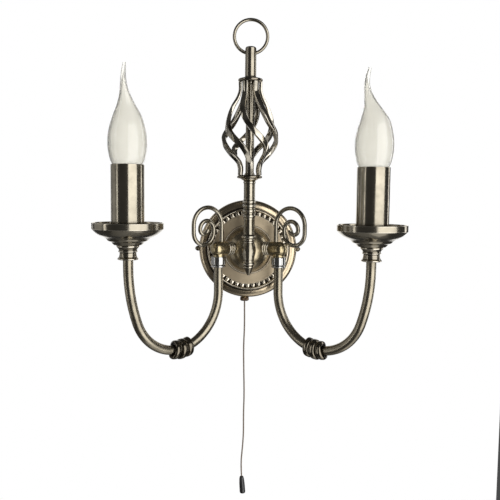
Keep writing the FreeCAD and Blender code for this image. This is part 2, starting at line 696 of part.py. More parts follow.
def candle_tube():
    bore = TUBE_RADIUS - TUBE_WALL
    return on_candle(turned((bore, TUBE_SEAT), (TUBE_RADIUS, TUBE_SEAT), (TUBE_RADIUS, TUBE_TOP - TUBE_EASE),
                            (TUBE_RADIUS - TUBE_EASE, TUBE_TOP), (bore, TUBE_TOP)))


def nipple():
    tube = upright(NIPPLE_RADIUS, NIPPLE_BOTTOM, NIPPLE_TOP)
    return on_candle(tube.cut(upright(NIPPLE_BORE, NIPPLE_BOTTOM, NIPPLE_TOP)))


def lampholder():
    """Tall moulded holder whose stem clamps the pan to the cup."""
    bottom = CUP_TOP + PAN_WALL
    nipple_bore = NIPPLE_RADIUS + SEAT
    socket = CAP_RADIUS + RUN + SOCKET_WALL + SEAT
    return on_candle(turned(
        (nipple_bore, bottom), (HOLDER_STEM, bottom), (HOLDER_STEM, HOLDER_SHOULDER - HOLDER_SLOPE),
        (HOLDER_RADIUS, HOLDER_SHOULDER), (HOLDER_RADIUS, HOLDER_TOP), (socket, HOLDER_TOP),
        (socket, HOLDER_FLOOR), (NIPPLE_BORE, HOLDER_FLOOR), (NIPPLE_BORE, NIPPLE_TOP),
        (nipple_bore, NIPPLE_TOP)))


def socket_contacts():
    """Screw shell of the holder, drawn plain, and the spring tongue under the bulb."""
    inside, floor = CAP_RADIUS + RUN, HOLDER_FLOOR
    outside, bottom = inside + SOCKET_WALL, floor + SOCKET_LIFT
    shell = turned((inside, bottom), (outside, bottom), (outside, SOCKET_TOP), (inside, SOCKET_TOP))
    tip, reach, thick = CAP_BOTTOM - PIP_HEIGHT - RUN, CAP_RADIUS - RUN, TONGUE_THICK
    foot, knee, bend = reach - TONGUE_FOOT, reach - 2*TONGUE_FOOT, PIP_RADIUS
    tongue = outline((foot - thick, floor), (reach, floor), (reach, floor + thick), (foot, floor + thick),
                     (knee, tip), (-bend, tip), (-bend, tip - thick), (knee - thick, tip - thick))
    tongue = tongue.extrude(Y*TONGUE_WIDTH).translate(Y*(-TONGUE_WIDTH/2))
    return on_candle(Part.makeCompound([shell, tongue]))


def bulb_pip():
    """Solder contact under the bulb's cap."""
    bottom = CAP_BOTTOM - PIP_HEIGHT
    return on_candle(turned((0, bottom), (PIP_RADIUS/2, bottom), (PIP_RADIUS, bottom + PIP_HEIGHT/2),
                            (PIP_RADIUS, CAP_BOTTOM), (0, CAP_BOTTOM)))


def bulb_cap():
    bore, floor = CAP_RADIUS - CAP_WALL, CAP_BOTTOM + CAP_FLOOR
    return on_candle(turned((0, CAP_BOTTOM), (CAP_RADIUS/2, CAP_BOTTOM), (CAP_RADIUS, CAP_BOTTOM + CAP_TAPER),
                            (CAP_RADIUS, CAP_TOP), (bore, CAP_TOP), (bore, floor), (0, floor)))


def bulb_body(rings):
    """Many-sided flame shape through rings of a height, a radius and how far they lean."""
    turns = [2*pi*side/BULB_SIDES for side in range(BULB_SIDES + 1)]
    sections = [[V(lean + radius*cos(turn), radius*sin(turn), height) for turn in turns]
                for height, radius, lean in rings]
    return Part.makeLoft([Part.makePolygon(points) for points in sections], True, True)


def bulb_glass(direction):
    """Glass of the bulb, whose tip is solid, leaning in a direction."""
    glass = bulb_body(BULB_RINGS).cut(bulb_body(BULB_HOLLOW))
    glass.rotate(ORIGIN, Z, direction)
    return on_candle(glass)


def finial():
    neck = FINIAL_OUTLINE[-1][0]
    body = turned((0, FINIAL_TIP), *raised(FINIAL_OUTLINE, FINIAL_TIP), (neck, VASE_BOTTOM), (0, VASE_BOTTOM))
    return on_column(body.cut(upright(TIE_RADIUS + SEAT, TIE_BOTTOM, 0)))


def vase():
    bore = TIE_RADIUS + SEAT
    top, roll = FLANGE_BOTTOM, VASE_ROLL - VASE_NECK
    body = on_column(turned(
        (bore, VASE_BOTTOM), (VASE_FOOT, VASE_BOTTOM), ((VASE_RADIUS, VASE_BELLY), VASE_SWELL),
        ((VASE_NECK, VASE_NECK_HEIGHT), VASE_SWELL), (VASE_ROLL, VASE_NECK_HEIGHT + roll),
        (VASE_ROLL, top - roll), (VASE_NECK, top), (bore, top)))
    spot = COLUMN_DEPTH - VASE_RADIUS + STUD_SPOT
    seat = rod(STUD_SHOULDER + SEAT, V(0, 0, ELBOW_RISE), -Y, spot)
    bite = rod(STUD_RADIUS + SEAT, V(0, 0, ELBOW_RISE), -Y, spot + STUD_BITE)
    return body.cut([seat, bite])


def lower_spindle():
    bore, bottom, top = TIE_RADIUS + SEAT, FLANGE_BOTTOM, FLANGE_BOTTOM + FLANGE_HEIGHT
    ease, edge = FLANGE_EASE, FLANGE_RADIUS - FLANGE_EASE
    return on_column(turned((bore, bottom), (edge, bottom), (FLANGE_RADIUS, bottom + ease),
                            (FLANGE_RADIUS, top - ease), (edge, top), (SPINDLE_RADIUS, top),
                            (SPINDLE_RADIUS, COLLAR_BOTTOM), (bore, COLLAR_BOTTOM)))


def ribbed_collar():
    bore, half = TIE_RADIUS + SEAT, COLLAR_RIB_HALF
    ribs = []
    for height in COLLAR_RIBS:
        ribs += [(COLLAR_NECK, height - half), ((COLLAR_NECK, height + half), COLLAR_RIB)]
    return on_column(turned((bore, COLLAR_BOTTOM), (COLLAR_NECK, COLLAR_BOTTOM), *ribs,
                            (COLLAR_NECK, COLLAR_TOP), (bore, COLLAR_TOP)))


def upper_spindle():
    bore, top = TIE_RADIUS + SEAT, FOOT_BOTTOM
    flare, roll = top - FLARE_HEIGHT, 2*COLLAR_RIB_HALF
    return on_column(turned((bore, COLLAR_TOP), (SPINDLE_RADIUS, COLLAR_TOP), (SPINDLE_RADIUS, flare - roll),
                            ((SPINDLE_RADIUS, flare), COLLAR_RIB), (FLARE_RADIUS, top), (bore, top)))


def disc(radius, bottom):
    """Cage disc with eased edges."""
    bore, ease, top = TIE_RADIUS + SEAT, DISC_EASE, bottom + DISC_THICK
    return on_column(turned((bore, bottom), (radius - ease, bottom), (radius, bottom + ease),
                            (radius, top - ease), (radius - ease, top), (bore, top)))


def cage_post():
    bore = TIE_RADIUS + SEAT
    return on_column(turned((bore, CAGE_BOTTOM), (POST_RADIUS, CAGE_BOTTOM), (POST_RADIUS, CAGE_TOP),
                            (bore, CAGE_TOP)))


def cage_profile():
    """Curve of the cage's outer radius against height, upright at both ends."""
    curve = Part.BSplineCurve()
    curve.interpolate([V(radius, 0, CAGE_BOTTOM + height) for height, radius in CAGE_SHAPE])
    return curve


def bar_sections(start):
    """Rectangles along one twisted bar, square to its path."""
    curve = cage_profile()

    def place(share):
        at = curve.value(curve.FirstParameter + share*(curve.LastParameter - curve.FirstParameter))
        twist = min(max((CAGE_TOP - CAGE_UPRIGHT - at.z)/(CAGE_HEIGHT - 2*CAGE_UPRIGHT), 0), 1)
        angle = radians(start + CAGE_TWIST*twist)
        out = V(sin(angle), -cos(angle), 0)
        return out*(at.x - BAR_THICK/2) + Z*at.z, out

    sections = []
    for step in range(BAR_STEPS + 1):
        share = step/BAR_STEPS
        middle, out = place(share)
        ahead, behind = place(min(share + 0.01, 1))[0], place(max(share - 0.01, 0))[0]
        along = Z if step in (0, BAR_STEPS) else (ahead - behind).normalize()
        thick = (out - along*out.dot(along)).normalize()*(BAR_THICK/2)
        wide = along.cross(thick).normalize()*(BAR_WIDTH/2)
        corners = [middle + thick + wide, middle + thick - wide, middle - thick - wide, middle - thick + wide]
        sections.append(Part.makePolygon(corners + corners[:1]))
    return sections


def cage_bars():
    """Six flat bars, bellied and twisted a quarter turn, between the foot and head discs."""
    bar = Part.makeLoft(bar_sections(CAGE_START), True, True)
    bars = []
    for place in range(BAR_COUNT):
        one = bar.copy()
        one.rotate(ORIGIN, Z, place*360/BAR_COUNT)
        bars.append(on_column(one))
    return Part.makeCompound(bars)


def tie_rod():
    return on_column(upright(TIE_RADIUS, TIE_BOTTOM, TIE_TOP))


def ring_of(wire):
    """Ring of round wire, whose section is cut in flats, upright and facing the room."""
    inner, outer = RING_RADIUS - wire, RING_RADIUS + wire
    ring = turned((outer, 0), ((inner, 0), wire, RING_FLATS), ((outer, 0), wire, RING_FLATS))
    return on_column(facing_out(ring).translate(V(0, 0, RING_HEIGHT)))


def stem():
    bottom = CAGE_TOP + DISC_THICK
    top = bottom + STEM_HEIGHT
    body = turned((0, bottom), (STEM_FOOT, bottom), (STEM_RADIUS, bottom + STEM_FOOT_HEIGHT),
                  (STEM_RADIUS, top - STEM_CROWN), ((0, top), crown(STEM_RADIUS, STEM_CROWN)))
    body = on_column(body.cut(upright(TIE_RADIUS + SEAT, bottom - 1, TIE_TOP)))
    return body.cut(ring_of(RING_WIRE + SEAT))


def wall_bracket():
    """Strap with two bent ears, slots for the wall screws and holes for the side screws."""
    end = PLATE_INSIDE - EAR_GAP
    bend, inner = STRAP_BEND, STRAP_BEND - STRAP_THICK
    strip = outline((end, -EAR_DEPTH), (end, -bend), ((end - bend, 0), bend*QUARTER), (bend - end, 0),
                    ((-end, -bend), bend*QUARTER), (-end, -EAR_DEPTH), (STRAP_THICK - end, -EAR_DEPTH),
                    (STRAP_THICK - end, -bend), ((bend - end, -STRAP_THICK), -inner*QUARTER),
                    (end - bend, -STRAP_THICK), ((end - STRAP_THICK, -bend), -inner*QUARTER),
                    (end - STRAP_THICK, -EAR_DEPTH))
    strap = strip.extrude(Y*STRAP_WIDTH).translate(Y*(-STRAP_WIDTH/2)).rotate(ORIGIN, X, -90)
    shoulder, half = end - STRAP_SHOULDER, STRAP_EAR_WIDTH/2
    for x0, x1 in ((-end - 1, -shoulder), (shoulder, end + 1)):
        for z0, z1 in ((-STRAP_WIDTH, -half), (half, STRAP_WIDTH)):
            strap = strap.cut(block(x0, x1, -EAR_DEPTH - 1, 1, z0, z1))
    screws = rod(SIDE_SCREW_RADIUS + SEAT, V(-2*end, -SIDE_SCREW_DEPTH, 0), X, 4*end)
    earth = rod(EARTH_RADIUS + SEAT, V(EARTH_X, 1, 0), -Y, STRAP_THICK + 2)
    return strap.cut([wall_slot(-SLOT_SPACING/2), wall_slot(SLOT_SPACING/2), screws, earth])


def wall_slot(x):
    """Cutter for a slot with round ends, long along X."""
    reach, radius = (SLOT_LENGTH - SLOT_WIDTH)/2, SLOT_WIDTH/2
    slot = block(x - reach, x + reach, -STRAP_THICK - 1, 1, -radius, radius)
    ends = [rod(radius, V(x + end, 1, 0), -Y, STRAP_THICK + 2) for end in (-reach, reach)]
    return slot.multiFuse(ends)


def earth_screw():
    """Slotted pan screw on a washer, in the strap."""
    under = STRAP_THICK + WASHER_THICK
    shank = rod(EARTH_RADIUS, V(EARTH_X, -SHANK_BACK, 0), -Y, under)
    washer = rod(WASHER_RADIUS, V(EARTH_X, -STRAP_THICK, 0), -Y, WASHER_THICK)
    head = rod(EARTH_HEAD_RADIUS, V(EARTH_X, -under, 0), -Y, EARTH_HEAD_HEIGHT)
    slot = block(EARTH_X - WASHER_RADIUS, EARTH_X + WASHER_RADIUS, -under - EARTH_HEAD_HEIGHT - 1,
                 -under - EARTH_HEAD_HEIGHT/2, -DRIVE_SLOT/2, DRIVE_SLOT/2)
    return shank.multiFuse([washer, head]).removeSplitter().cut(slot)


def terminal_block():
    """Two-way block: wires enter from above and below, screws are reached from the front."""
    front = STRAP_THICK + TERMINAL_HEIGHT
    body = block(TERMINAL_X, TERMINAL_X + TERMINAL_WIDTH, -front, -STRAP_THICK, -TERMINAL_HALF, TERMINAL_HALF)
    middle, way_depth = TERMINAL_X + TERMINAL_WIDTH/2, STRAP_THICK + TERMINAL_FLOOR
    ways = []
    for x in (middle - TERMINAL_PITCH/2, middle + TERMINAL_PITCH/2):
        ways.append(block(x - TERMINAL_WAY/2, x + TERMINAL_WAY/2, -way_depth - TERMINAL_WAY, -way_depth,
                          -TERMINAL_HALF - 1, TERMINAL_HALF + 1))
        for z in (-TERMINAL_HALF/2, TERMINAL_HALF/2):
            ways.append(rod(TERMINAL_WAY/2, V(x, -way_depth - TERMINAL_WAY/2, z), -Y, TERMINAL_HEIGHT))
    return body.cut(ways)


def plate_screws():
    """The two screws with acorn heads that hold the plate to the ears of the strap."""
    ease = ACORN_EASE
    head = turned((0, 0), (ACORN_RADIUS - ease, 0), (ACORN_RADIUS, ease), (ACORN_RADIUS, ACORN_SIDE),
                  ((0, ACORN_LENGTH), crown(ACORN_RADIUS, ACORN_LENGTH - ACORN_SIDE)))
    screw = head.fuse(upright(SIDE_SCREW_RADIUS, -SIDE_SCREW_LENGTH, ease)).removeSplitter()
    screw = screw.rotate(ORIGIN, Y, 90).translate(V(PLATE_RADIUS + SEAT, -SIDE_SCREW_DEPTH, 0))
    return Part.makeCompound([screw, screw.mirror(ORIGIN, X)])


def switch_shell(front, back, wall):
    """Box about the cord's axis, smaller by a wall on each side."""
    return block(CORD_X - CASE_LEFT + wall, CORD_X + CASE_RIGHT - wall, -front, -back,
                 CASE_BOTTOM + wall, CASE_TOP - wall)


def switch_case():
    """Box open to the front, with ribs that guide the slider and a post for the cam."""
    floor = CASE_BACK + CASE_WALL
    case = switch_shell(CASE_FRONT, CASE_BACK, 0).cut(switch_shell(CASE_FRONT + 1, floor, CASE_WALL))
    inner, root, ease = SLIDER_HALF + RUN, floor - CASE_WALL/2, CASE_WALL/2
    bottom, top, front = CASE_BOTTOM + ease, CASE_TOP - ease, RUN - CAM_BACK
    ribs = [block(x, x + RIB_THICK, front, -root, bottom, top)
            for x in (CORD_X - inner - RIB_THICK, CORD_X + inner)]
    pivot = V(CORD_X + CAM_PIVOT, -root, CAM_HEIGHT)
    post = [rod(CAM_BOSS - RIB_THICK, pivot, -Y, CAM_BACK - RUN - root),
            rod(PIVOT_RADIUS, pivot, -Y, CASE_FRONT - SEAT - root)]
    neck = upright(BUSH_RADIUS + SEAT, CASE_BOTTOM - 1, CASE_BOTTOM + CASE_WALL, CORD_X, -SWITCH_DEPTH)
    return case.multiFuse(ribs + post).cut(neck)


def switch_cover():
    return switch_shell(CASE_FRONT + COVER_THICK, CASE_FRONT, 0)


def switch_cam():
    """Forked lever on the case's post, turned by the slider's pin."""
    pivot = V(CORD_X + CAM_PIVOT, -CAM_BACK, CAM_HEIGHT)
    slot, half = PIN_RADIUS + RUN, CAM_BOSS - RUN
    lever = rod(CAM_BOSS, ORIGIN, -Y, CAM_THICK)
    lever = lever.fuse(block(-CAM_PIVOT - CAM_BOSS, 0, -CAM_THICK, 0, -half, half)).removeSplitter()
    fork = block(-CAM_PIVOT - 2*CAM_BOSS, slot - CAM_PIVOT, -CAM_THICK - 1, 1, -slot, slot)
    lever = lever.cut([fork, rod(PIVOT_RADIUS + SEAT, Y, -Y, CAM_THICK + 2)])
    lift = degrees(atan2(PULL_TRAVEL/2, CAM_PIVOT))
    return lever.rotate(ORIGIN, Y, lift).translate(pivot)


def switch_slider():
    """Block on the cord's end, with the pin that turns the cam."""
    body = block(CORD_X - SLIDER_HALF, CORD_X + SLIDER_HALF, -SWITCH_DEPTH - SLIDER_HALF,
                 -SWITCH_DEPTH + SLIDER_HALF, SLIDER_BOTTOM, SLIDER_TOP)
    pin = rod(PIN_RADIUS, V(CORD_X, -SWITCH_DEPTH, PIN_HEIGHT), -Y, CAM_BACK + CAM_THICK - SWITCH_DEPTH)
    cord_hole = upright(CORD_RADIUS + SEAT, SLIDER_BOTTOM - 1, CORD_POINTS[0][1], CORD_X, -SWITCH_DEPTH)
    return body.fuse(pin).cut(cord_hole)


def switch_spring():
    """Return spring round the cord, drawn as a sleeve, between the slider and the floor of the case."""
    bottom, top = CASE_BOTTOM + CASE_WALL + SEAT, SLIDER_BOTTOM - SEAT
    sleeve = upright(SPRING_RADIUS, bottom, top).cut(upright(SPRING_RADIUS - SPRING_WIRE, bottom, top))
    return sleeve.translate(V(CORD_X, -SWITCH_DEPTH, 0))


def switch_bush():
    """Threaded tube, drawn plain, that holds the switch in the plate and lets the cord out."""
    seat = SEAT - sqrt(PLATE_INSIDE**2 - (BUSH_SHOULDER - CORD_X)**2)
    shoulder = upright(BUSH_SHOULDER, seat, CASE_BOTTOM, CORD_X, -SWITCH_DEPTH)
    tube = upright(BUSH_RADIUS, BUSH_END, CASE_BOTTOM + CASE_WALL, CORD_X, -SWITCH_DEPTH)
    bore = upright(BUSH_BORE, BUSH_END, CASE_BOTTOM + CASE_WALL, CORD_X, -SWITCH_DEPTH)
    return shoulder.fuse(tube).removeSplitter().cut(bore)


def bush_nut():
    top = -PLATE_RADIUS - SEAT
    bottom = top - BUSH_NUT_HEIGHT
    bore, rim = BUSH_RADIUS + SEAT, BUSH_NUT_RADIUS
    nut = turned((bore, bottom), (rim - BUSH_NUT_EASE, bottom), (rim, bottom + BUSH_NUT_EASE), (rim, top),
                 (bore, top))
    return nut.translate(V(CORD_X, -SWITCH_DEPTH, 0))


def cord_corners():
    return [V(x, -SWITCH_DEPTH - forward, z) for x, z, forward in CORD_POINTS]


def pull_cord():
    """Cord of straight runs and arcs, which hangs from the slider to its weight."""
    corners = cord_corners()
    edges, here, radii = [], corners[0], []
    for before, corner, after in zip(corners, corners[1:], corners[2:]):
        reach = 0.45*min(before.distanceToPoint(corner), corner.distanceToPoint(after))
        start = corner + (before - corner).normalize()*reach
        end = corner + (after - corner).normalize()*reach
        arc = rounded(start, corner, end)
        radii.append(arc.Curve.Radius)
        edges += [Part.LineSegment(here, start).toShape(), arc]
        here = end
    edges.append(Part.LineSegment(here, corners[-1]).toShape())
    path = Part.Wire(edges)
    print("cord: arc radii", " ".join(f"{radius:.0f}" for radius in radii), "mm")
    print(f"cord: length {path.Length:.1f} mm")
    cord = swept(path, CORD_RADIUS)
    print(f"cord: volume over section times length {cord.Volume/(pi*CORD_RADIUS**2*path.Length):.4f}")
    return cord


def cord_pull():
    """Moulded weight, in line with the cord's last run."""
    corners = cord_corners()
    along = (corners[-1] - corners[-2]).normalize()
    top, bottom, bore = PULL_GRIP, PULL_GRIP - PULL_LENGTH, CORD_RADIUS + SEAT
    slim, mouth = PULL_RADIUS - PULL_EASE, bore + PULL_EASE/2
    pull = turned((0, bottom), (slim, bottom), (PULL_RADIUS, bottom + PULL_EASE),
                  (PULL_RADIUS, bottom + PULL_RADIUS), (slim, top - PULL_RADIUS),
                  ((mouth, top), PULL_SHOULDER), (bore, top), (bore, 0), (0, 0))
    pull.Placement = FreeCAD.Placement(corners[-1], FreeCAD.Rotation(-Z, along))
    return pull


def pieces():
    """Every piece by name."""
    made = {
        "wall_plate": wall_plate(), "hub": hub(), "clamp_plate": clamp_plate(), "hub_stud": hub_stud(),
        "hub_nut": stud_nut(), "elbow_nuts": elbow_nuts(), "finial": finial(), "vase": vase(),
        "lower_spindle": lower_spindle(), "ribbed_collar": ribbed_collar(), "upper_spindle": upper_spindle(),
        "cage_foot": disc(FOOT_RADIUS, FOOT_BOTTOM), "cage_bars": cage_bars(), "cage_post": cage_post(),
        "cage_head": disc(HEAD_RADIUS, CAGE_TOP), "tie_rod": tie_rod(), "stem": stem(),
        "top_ring": ring_of(RING_WIRE), "wall_bracket": wall_bracket(), "earth_screw": earth_screw(),
        "terminal_block": terminal_block(), "plate_screws": plate_screws(), "switch_case": switch_case(),
        "switch_cover": switch_cover(), "switch_cam": switch_cam(), "switch_slider": switch_slider(),
        "switch_spring": switch_spring(), "switch_bush": switch_bush(), "bush_nut": bush_nut(),
        "pull_cord": pull_cord(), "cord_pull": cord_pull()}
    arm_side = {
        "elbow": elbow(), "collar": collar(), "arm": arm(), "knot": knot(), "scroll": scroll(), "cup": cup(),
        "drip_pan": drip_pan(), "candle_tube": candle_tube(), "nipple": nipple(), "lampholder": lampholder(),
        "socket_contacts": socket_contacts(), "bulb_pip": bulb_pip(), "bulb_cap": bulb_cap()}
    for side, turn in zip(SIDES, BULB_TURN):
        for name, shape in arm_side.items():
            made[f"{name}_{side}"] = on_side(shape, side)
        away = turn if side == "right" else 180 - turn
        made[f"bulb_glass_{side}"] = on_side(bulb_glass(away + SPREAD), side)
    return made


os.makedirs("parts", exist_ok=True)
for name, shape in pieces().items():
    print(f"{name}: {len(shape.Solids)} solids, {shape.Volume:.1f} mm3, valid {shape.isValid()}")
    shape.exportStep(f"parts/{name}.step")
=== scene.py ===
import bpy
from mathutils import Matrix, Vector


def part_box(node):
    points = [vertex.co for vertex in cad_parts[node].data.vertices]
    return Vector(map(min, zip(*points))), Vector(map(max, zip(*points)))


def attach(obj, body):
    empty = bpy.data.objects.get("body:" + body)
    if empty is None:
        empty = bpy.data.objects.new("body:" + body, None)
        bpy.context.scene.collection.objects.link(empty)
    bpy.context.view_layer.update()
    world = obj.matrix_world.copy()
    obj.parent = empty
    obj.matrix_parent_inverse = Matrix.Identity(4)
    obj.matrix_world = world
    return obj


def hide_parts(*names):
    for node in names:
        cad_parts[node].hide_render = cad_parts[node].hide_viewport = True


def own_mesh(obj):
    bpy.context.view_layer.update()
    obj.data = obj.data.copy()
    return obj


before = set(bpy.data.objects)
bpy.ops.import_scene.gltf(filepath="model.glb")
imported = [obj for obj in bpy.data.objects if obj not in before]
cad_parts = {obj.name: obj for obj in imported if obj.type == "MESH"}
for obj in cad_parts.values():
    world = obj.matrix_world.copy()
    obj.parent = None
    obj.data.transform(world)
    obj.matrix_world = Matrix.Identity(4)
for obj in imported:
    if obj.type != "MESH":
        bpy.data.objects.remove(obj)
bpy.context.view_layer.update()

from math import atan2, ceil, cos, degrees, pi, radians, sin, sqrt, tan

import bmesh
import bpy
from mathutils import Matrix, Vector

# Double arm wall sconce. Shapes are written in millimetres in the row frame and made in metres: the
# wall is y = 0, the light faces -Y, X is to the right and Z is up. Angles are in degrees. Heights are
# from the plate's middle.

MM = 0.001
Y, Z = Vector((0, 1, 0)), Vector((0, 0, 1))
SIDES = ("right", "left")

# Corners and meshes
EASE = 0.25          # rounding of a turned corner that states none
EASE_STEPS = 4
EASE_SHARE = 0.45    # the most of a straight run that a rounding takes
GUARD = 0.35         # how far the darkening of a hollow and the brightening of an edge, patina and rubbing with painted shade and highlight, show beside its rounding
GUARD_ROOM = 2.4     # a run this many times its rounding and guard has room for them
PLAIN = 0.5          # level of a plain face, from patina and painted shade at 0 to rubbed brass and painted highlight at 1
EDGE_EASE = 1.2      # a rounding wider than this is a curve, not an edge
EDGE_TURN = 60.0     # a corner this sharp gets the full rubbed brightness and painted highlight when it stands out, and the full patina and painted shade when hollow
SHARP = 40.0         # an edge sharper than this isn't smoothed
AROUND = 96          # faces round a turned piece
LARGE_AROUND = 128
PLATE_AROUND = 192
SMALL_AROUND = 48
MERGE = 2e-6         # in metres: points this near are one
SLIVER = 1e-6        # in metres: an edge this short goes
BEND_STEP = 3.0      # turn between the rings of a bent rod
RUN_STEP = 4.0       # length between the rings of its straight runs
DOME_STEPS = 8

# Plate and hub
PLATE_RADIUS = 50.5
PLATE_FACE = 17.0
BEAD_RING = 37.6
BEAD_COUNT = 42
BEAD_FLOOR = 14.2    # of the bead channel, from the wall
BEAD_LENGTH = 4.1
BEAD_INNER = 4.3     # width of a tooth at its inner end
BEAD_OUTER = 2.9
BEAD_CORNER = 0.3
BEAD_SINK = 0.1      # how far a tooth goes into the floor
# Height, inset and level of a tooth's rings: a painted highlight on its top and painted shade at its foot
BEAD_LEVELS = ((0.0, 0.0, 0.2), (0.9, 0.06, 0.4), (1.3, 0.2, 0.85), (1.5, 0.5, 0.9), (1.6, 1.0, 0.8))
HUB_RADIUS = 22.5
HUB_WALL = 1.6
HUB_LIFT = 0.25      # of the dome's centre, from the plate's face
HUB_STEPS = 20
SCREW_DEPTH = 6.0    # of the screws' axis, from the wall
SCREW_GAP = 0.05
SCREW_AROUND = 40
KNURLS = 36
KNURL_DEPTH = 0.14
NUT_AROUND = 108

# Arms, each in an upright plane of its own
SPREAD = 40.0        # between an arm's plane and the wall
ELBOW_REACH = 29.5   # from the light's middle, along the wall
ELBOW_RISE = 2.5
ELBOW_DEPTH = PLATE_FACE + HUB_LIFT + ELBOW_REACH*tan(radians(SPREAD))
ELBOW_RIBS = 3
RIB_START = -17.0    # of the first rib, from the arm's axis
RIB_PITCH = 2.6
ARM_RADIUS = 4.5
ARM_REACH = 101.5    # from the elbow to the candle
ARM_TOP = -1.0
ARM_DROP = 39.4      # depth at which the first bend starts
FIRST_BEND = (52.0, 64.0)  # radius and turn
SECOND_TURN = 96.0   # its radius makes up the rest of the reach
THIRD_BEND = (150.0, 20.0)
ARM_END = 3.0
ARM_SIDES = 48
ARM_BORE = 4.55      # of the pieces round the arm
NIPPLE_BORE = 3.45   # of the pieces round the nipple
KNOT_PLACE = 19.5    # along the second bend, at the knot's middle
KNOT_TURNS = 3
KNOT_STEPS = 64      # in a turn
KNOT_NEAR = 0.002    # of a turn, each side of a ring, for its direction
KNOT_START = 0.6     # in radians round the arm
KNOT_PITCH = 7.0
KNOT_AWAY = 6.35     # middle of the strand from the arm's axis
KNOT_BULGE = 0.7     # how much further out its middle turns lie
KNOT_END = 0.16      # of a turn, over which an end narrows
KNOT_END_SIZE = 0.30  # share of its size there
KNOT_TUCK = 1.1      # how far in it would go if it narrowed to nothing
STRAND_HALF = 3.3    # half the strand's width
STRAND_OUT = 2.5     # its depth outwards and inwards of its middle
STRAND_IN = 1.9
STRAND_RIDGE = 0.3
STRAND_SIDES = 32
STRAND_DARK = 0.05   # level of its sides and inside, darkened: patina with painted shade between its turns and against the arm
SCROLL_RADIUS = 2.05
SCROLL_SIDES = 32
SCROLL_START = (-3.6, 5.0)  # across and up
SCROLL_RISE = 21.0
SCROLL_BENDS = (17.0, 12.0, 8.2, 4.65)  # radii of its half turns, outermost first
SCROLL_FALL = 7.0    # straight run after the first half turn
SCROLL_LIFT = 3.0    # and after the second

# Column and cage
COLUMN_DEPTH = 48.0
ROD_BORE = 2.05      # of the pieces round the tie rod
COLLAR_RIBS = (35.1, 39.9, 44.8, 48.6)
DISC_THICK = 3.6
CAGE_BOTTOM = 74.4
CAGE_HEIGHT = 88.0
CAGE_TWIST = 90.0
CAGE_START = 30.0
# Share of the twist that a bar has at a height above the foot disc, from all to none
CAGE_TURN = ((0, 1.0), (11.6, 1.0), (14.6, 0.95), (20.6, 0.87), (26.6, 0.77), (33, 0.6), (42.7, 0.36),
             (51, 0.2), (59.2, 0.1), (68, 0.03), (76.4, 0.0), (88, 0.0))
# Outer radius of the cage at a height above the foot disc
CAGE_SHAPE = ((0, 12.0), (7, 12.0), (12.7, 14.2), (20.3, 21.0), (33.6, 27.4), (50.6, 24.2), (65.6, 18.0),
              (73.4, 13.5), (79, 11.6), (88, 11.5))
BAR_COUNT = 6
BAR_STEPS = 96
BAR_NEAR = 0.4       # height each side of a ring, for its direction
BAR_WIDTH = 5.2
BAR_THICK = 3.3
BAR_SWELL = 1.1      # how much thicker a bar is at the cage's belly
BAR_EASE = 0.5
BAR_CROWN = 0.15
BAR_EDGE_HIGHLIGHT = 0.72      # painted highlight along a bar's edges
RING_RADIUS = 15.8
RING_WIRE = 1.6
RING_HEIGHT = 205.0
RING_SIDES = 20

# Bulbs: height, radius, and how far the flame leans there
BULB_SHAPE = ((67.0, 5.7, 0), (71.5, 6.3, 0), (80.4, 13.2, 0), (90.0, 16.2, 0), (99.7, 17.0, 0),
              (112.0, 15.5, 0), (122.0, 12.4, 0), (132.0, 7.6, 2.4), (142.0, 4.1, 5.8), (152.0, 2.5, 7.7),
              (160.0, 1.9, 6.9), (165.9, 1.4, 5.6))
BULB_LEAN = {"right": 180.0, "left": 255.0}  # where the bent tips point
BULB_WALL = 0.8
BULB_HOLLOW = 160.0  # top of the hollow, which ends in a point
BULB_CLOSING = 30.0  # height over which its wall thickens up to there
BULB_TIP_WALL = 1.3  # by so much
BULB_AROUND = 64
BULB_INNER_STEPS = 60
BULB_OUTER_STEPS = 110
CAP_RADIUS = 6.9
CAP_PITCH = 2.82
CAP_FOOT = 45.56     # clear of the contact under it
CAP_AROUND = 72
THREAD_BOTTOM = 48.6
THREAD_TOP = 70.0
THREAD_DEPTH = 0.55
THREAD_INSET = 0.05
THREAD_FADE = 2.0    # height over which the thread runs out
THREAD_STEP = 0.235
THREAD_RINGS = 92

# Pull cord and its switch's spring
CORD_RADIUS = 0.75
CORD_BUSH = (-3.0, -6.0)
# Points that the cord hangs through: across, height, and forward of its bush
CORD_POINTS = ((-3.0, -30.0, 0.0), (-3.0, -56.0, 0.0), (-2.6, -82.0, -0.3), (-3.5, -104.0, 0.3),
               (-3.0, -130.0, 0.5), (-2.3, -154.0, 0.0), (-2.9, -178.0, -0.4), (-2.6, -198.0, 0.0),
               (-3.7, -214.0, 0.3), (-5.3, -232.0, 0.0), (-4.0, -250.0, -0.2))
PULL_GRIP = 5.3      # top and bottom of the weight, from the cord's end
PULL_BOTTOM = -13.5
SPRING_WIRE = 0.22   # half the wire's thickness
SPRING_TURNS = 6
SPRING_STEPS = 24    # in a turn
SPRING_SIDES = 8

CAMERA_PLACE = (-14.7, -660.0, 52.3)
CAMERA_PITCH = -4.70
CAMERA_YAW = 1.486
CAMERA_ROLL = 0.60
CAMERA_LENS = 45.36


def camera():
    """Camera at the photograph's place, a little left of the light and above its plate."""
    pitch, yaw, roll = radians(CAMERA_PITCH), radians(CAMERA_YAW), radians(CAMERA_ROLL)
    ahead = Vector((sin(yaw)*cos(pitch), cos(yaw)*cos(pitch), sin(pitch)))
    level = ahead.cross(Z).normalized()
    right = level*cos(roll) + level.cross(ahead)*sin(roll)
    up = right.cross(ahead)
    data = bpy.data.cameras.new("camera")
    data.sensor_width = 36
    data.lens = CAMERA_LENS
    data.clip_start, data.clip_end = 0.01, 30
    view = bpy.data.objects.new("camera", data)
    turn = Matrix((right, up, -ahead)).transposed().to_4x4()
    view.matrix_world = Matrix.Translation(Vector(CAMERA_PLACE)*MM) @ turn
    bpy.context.scene.collection.objects.link(view)
    bpy.context.scene.camera = view
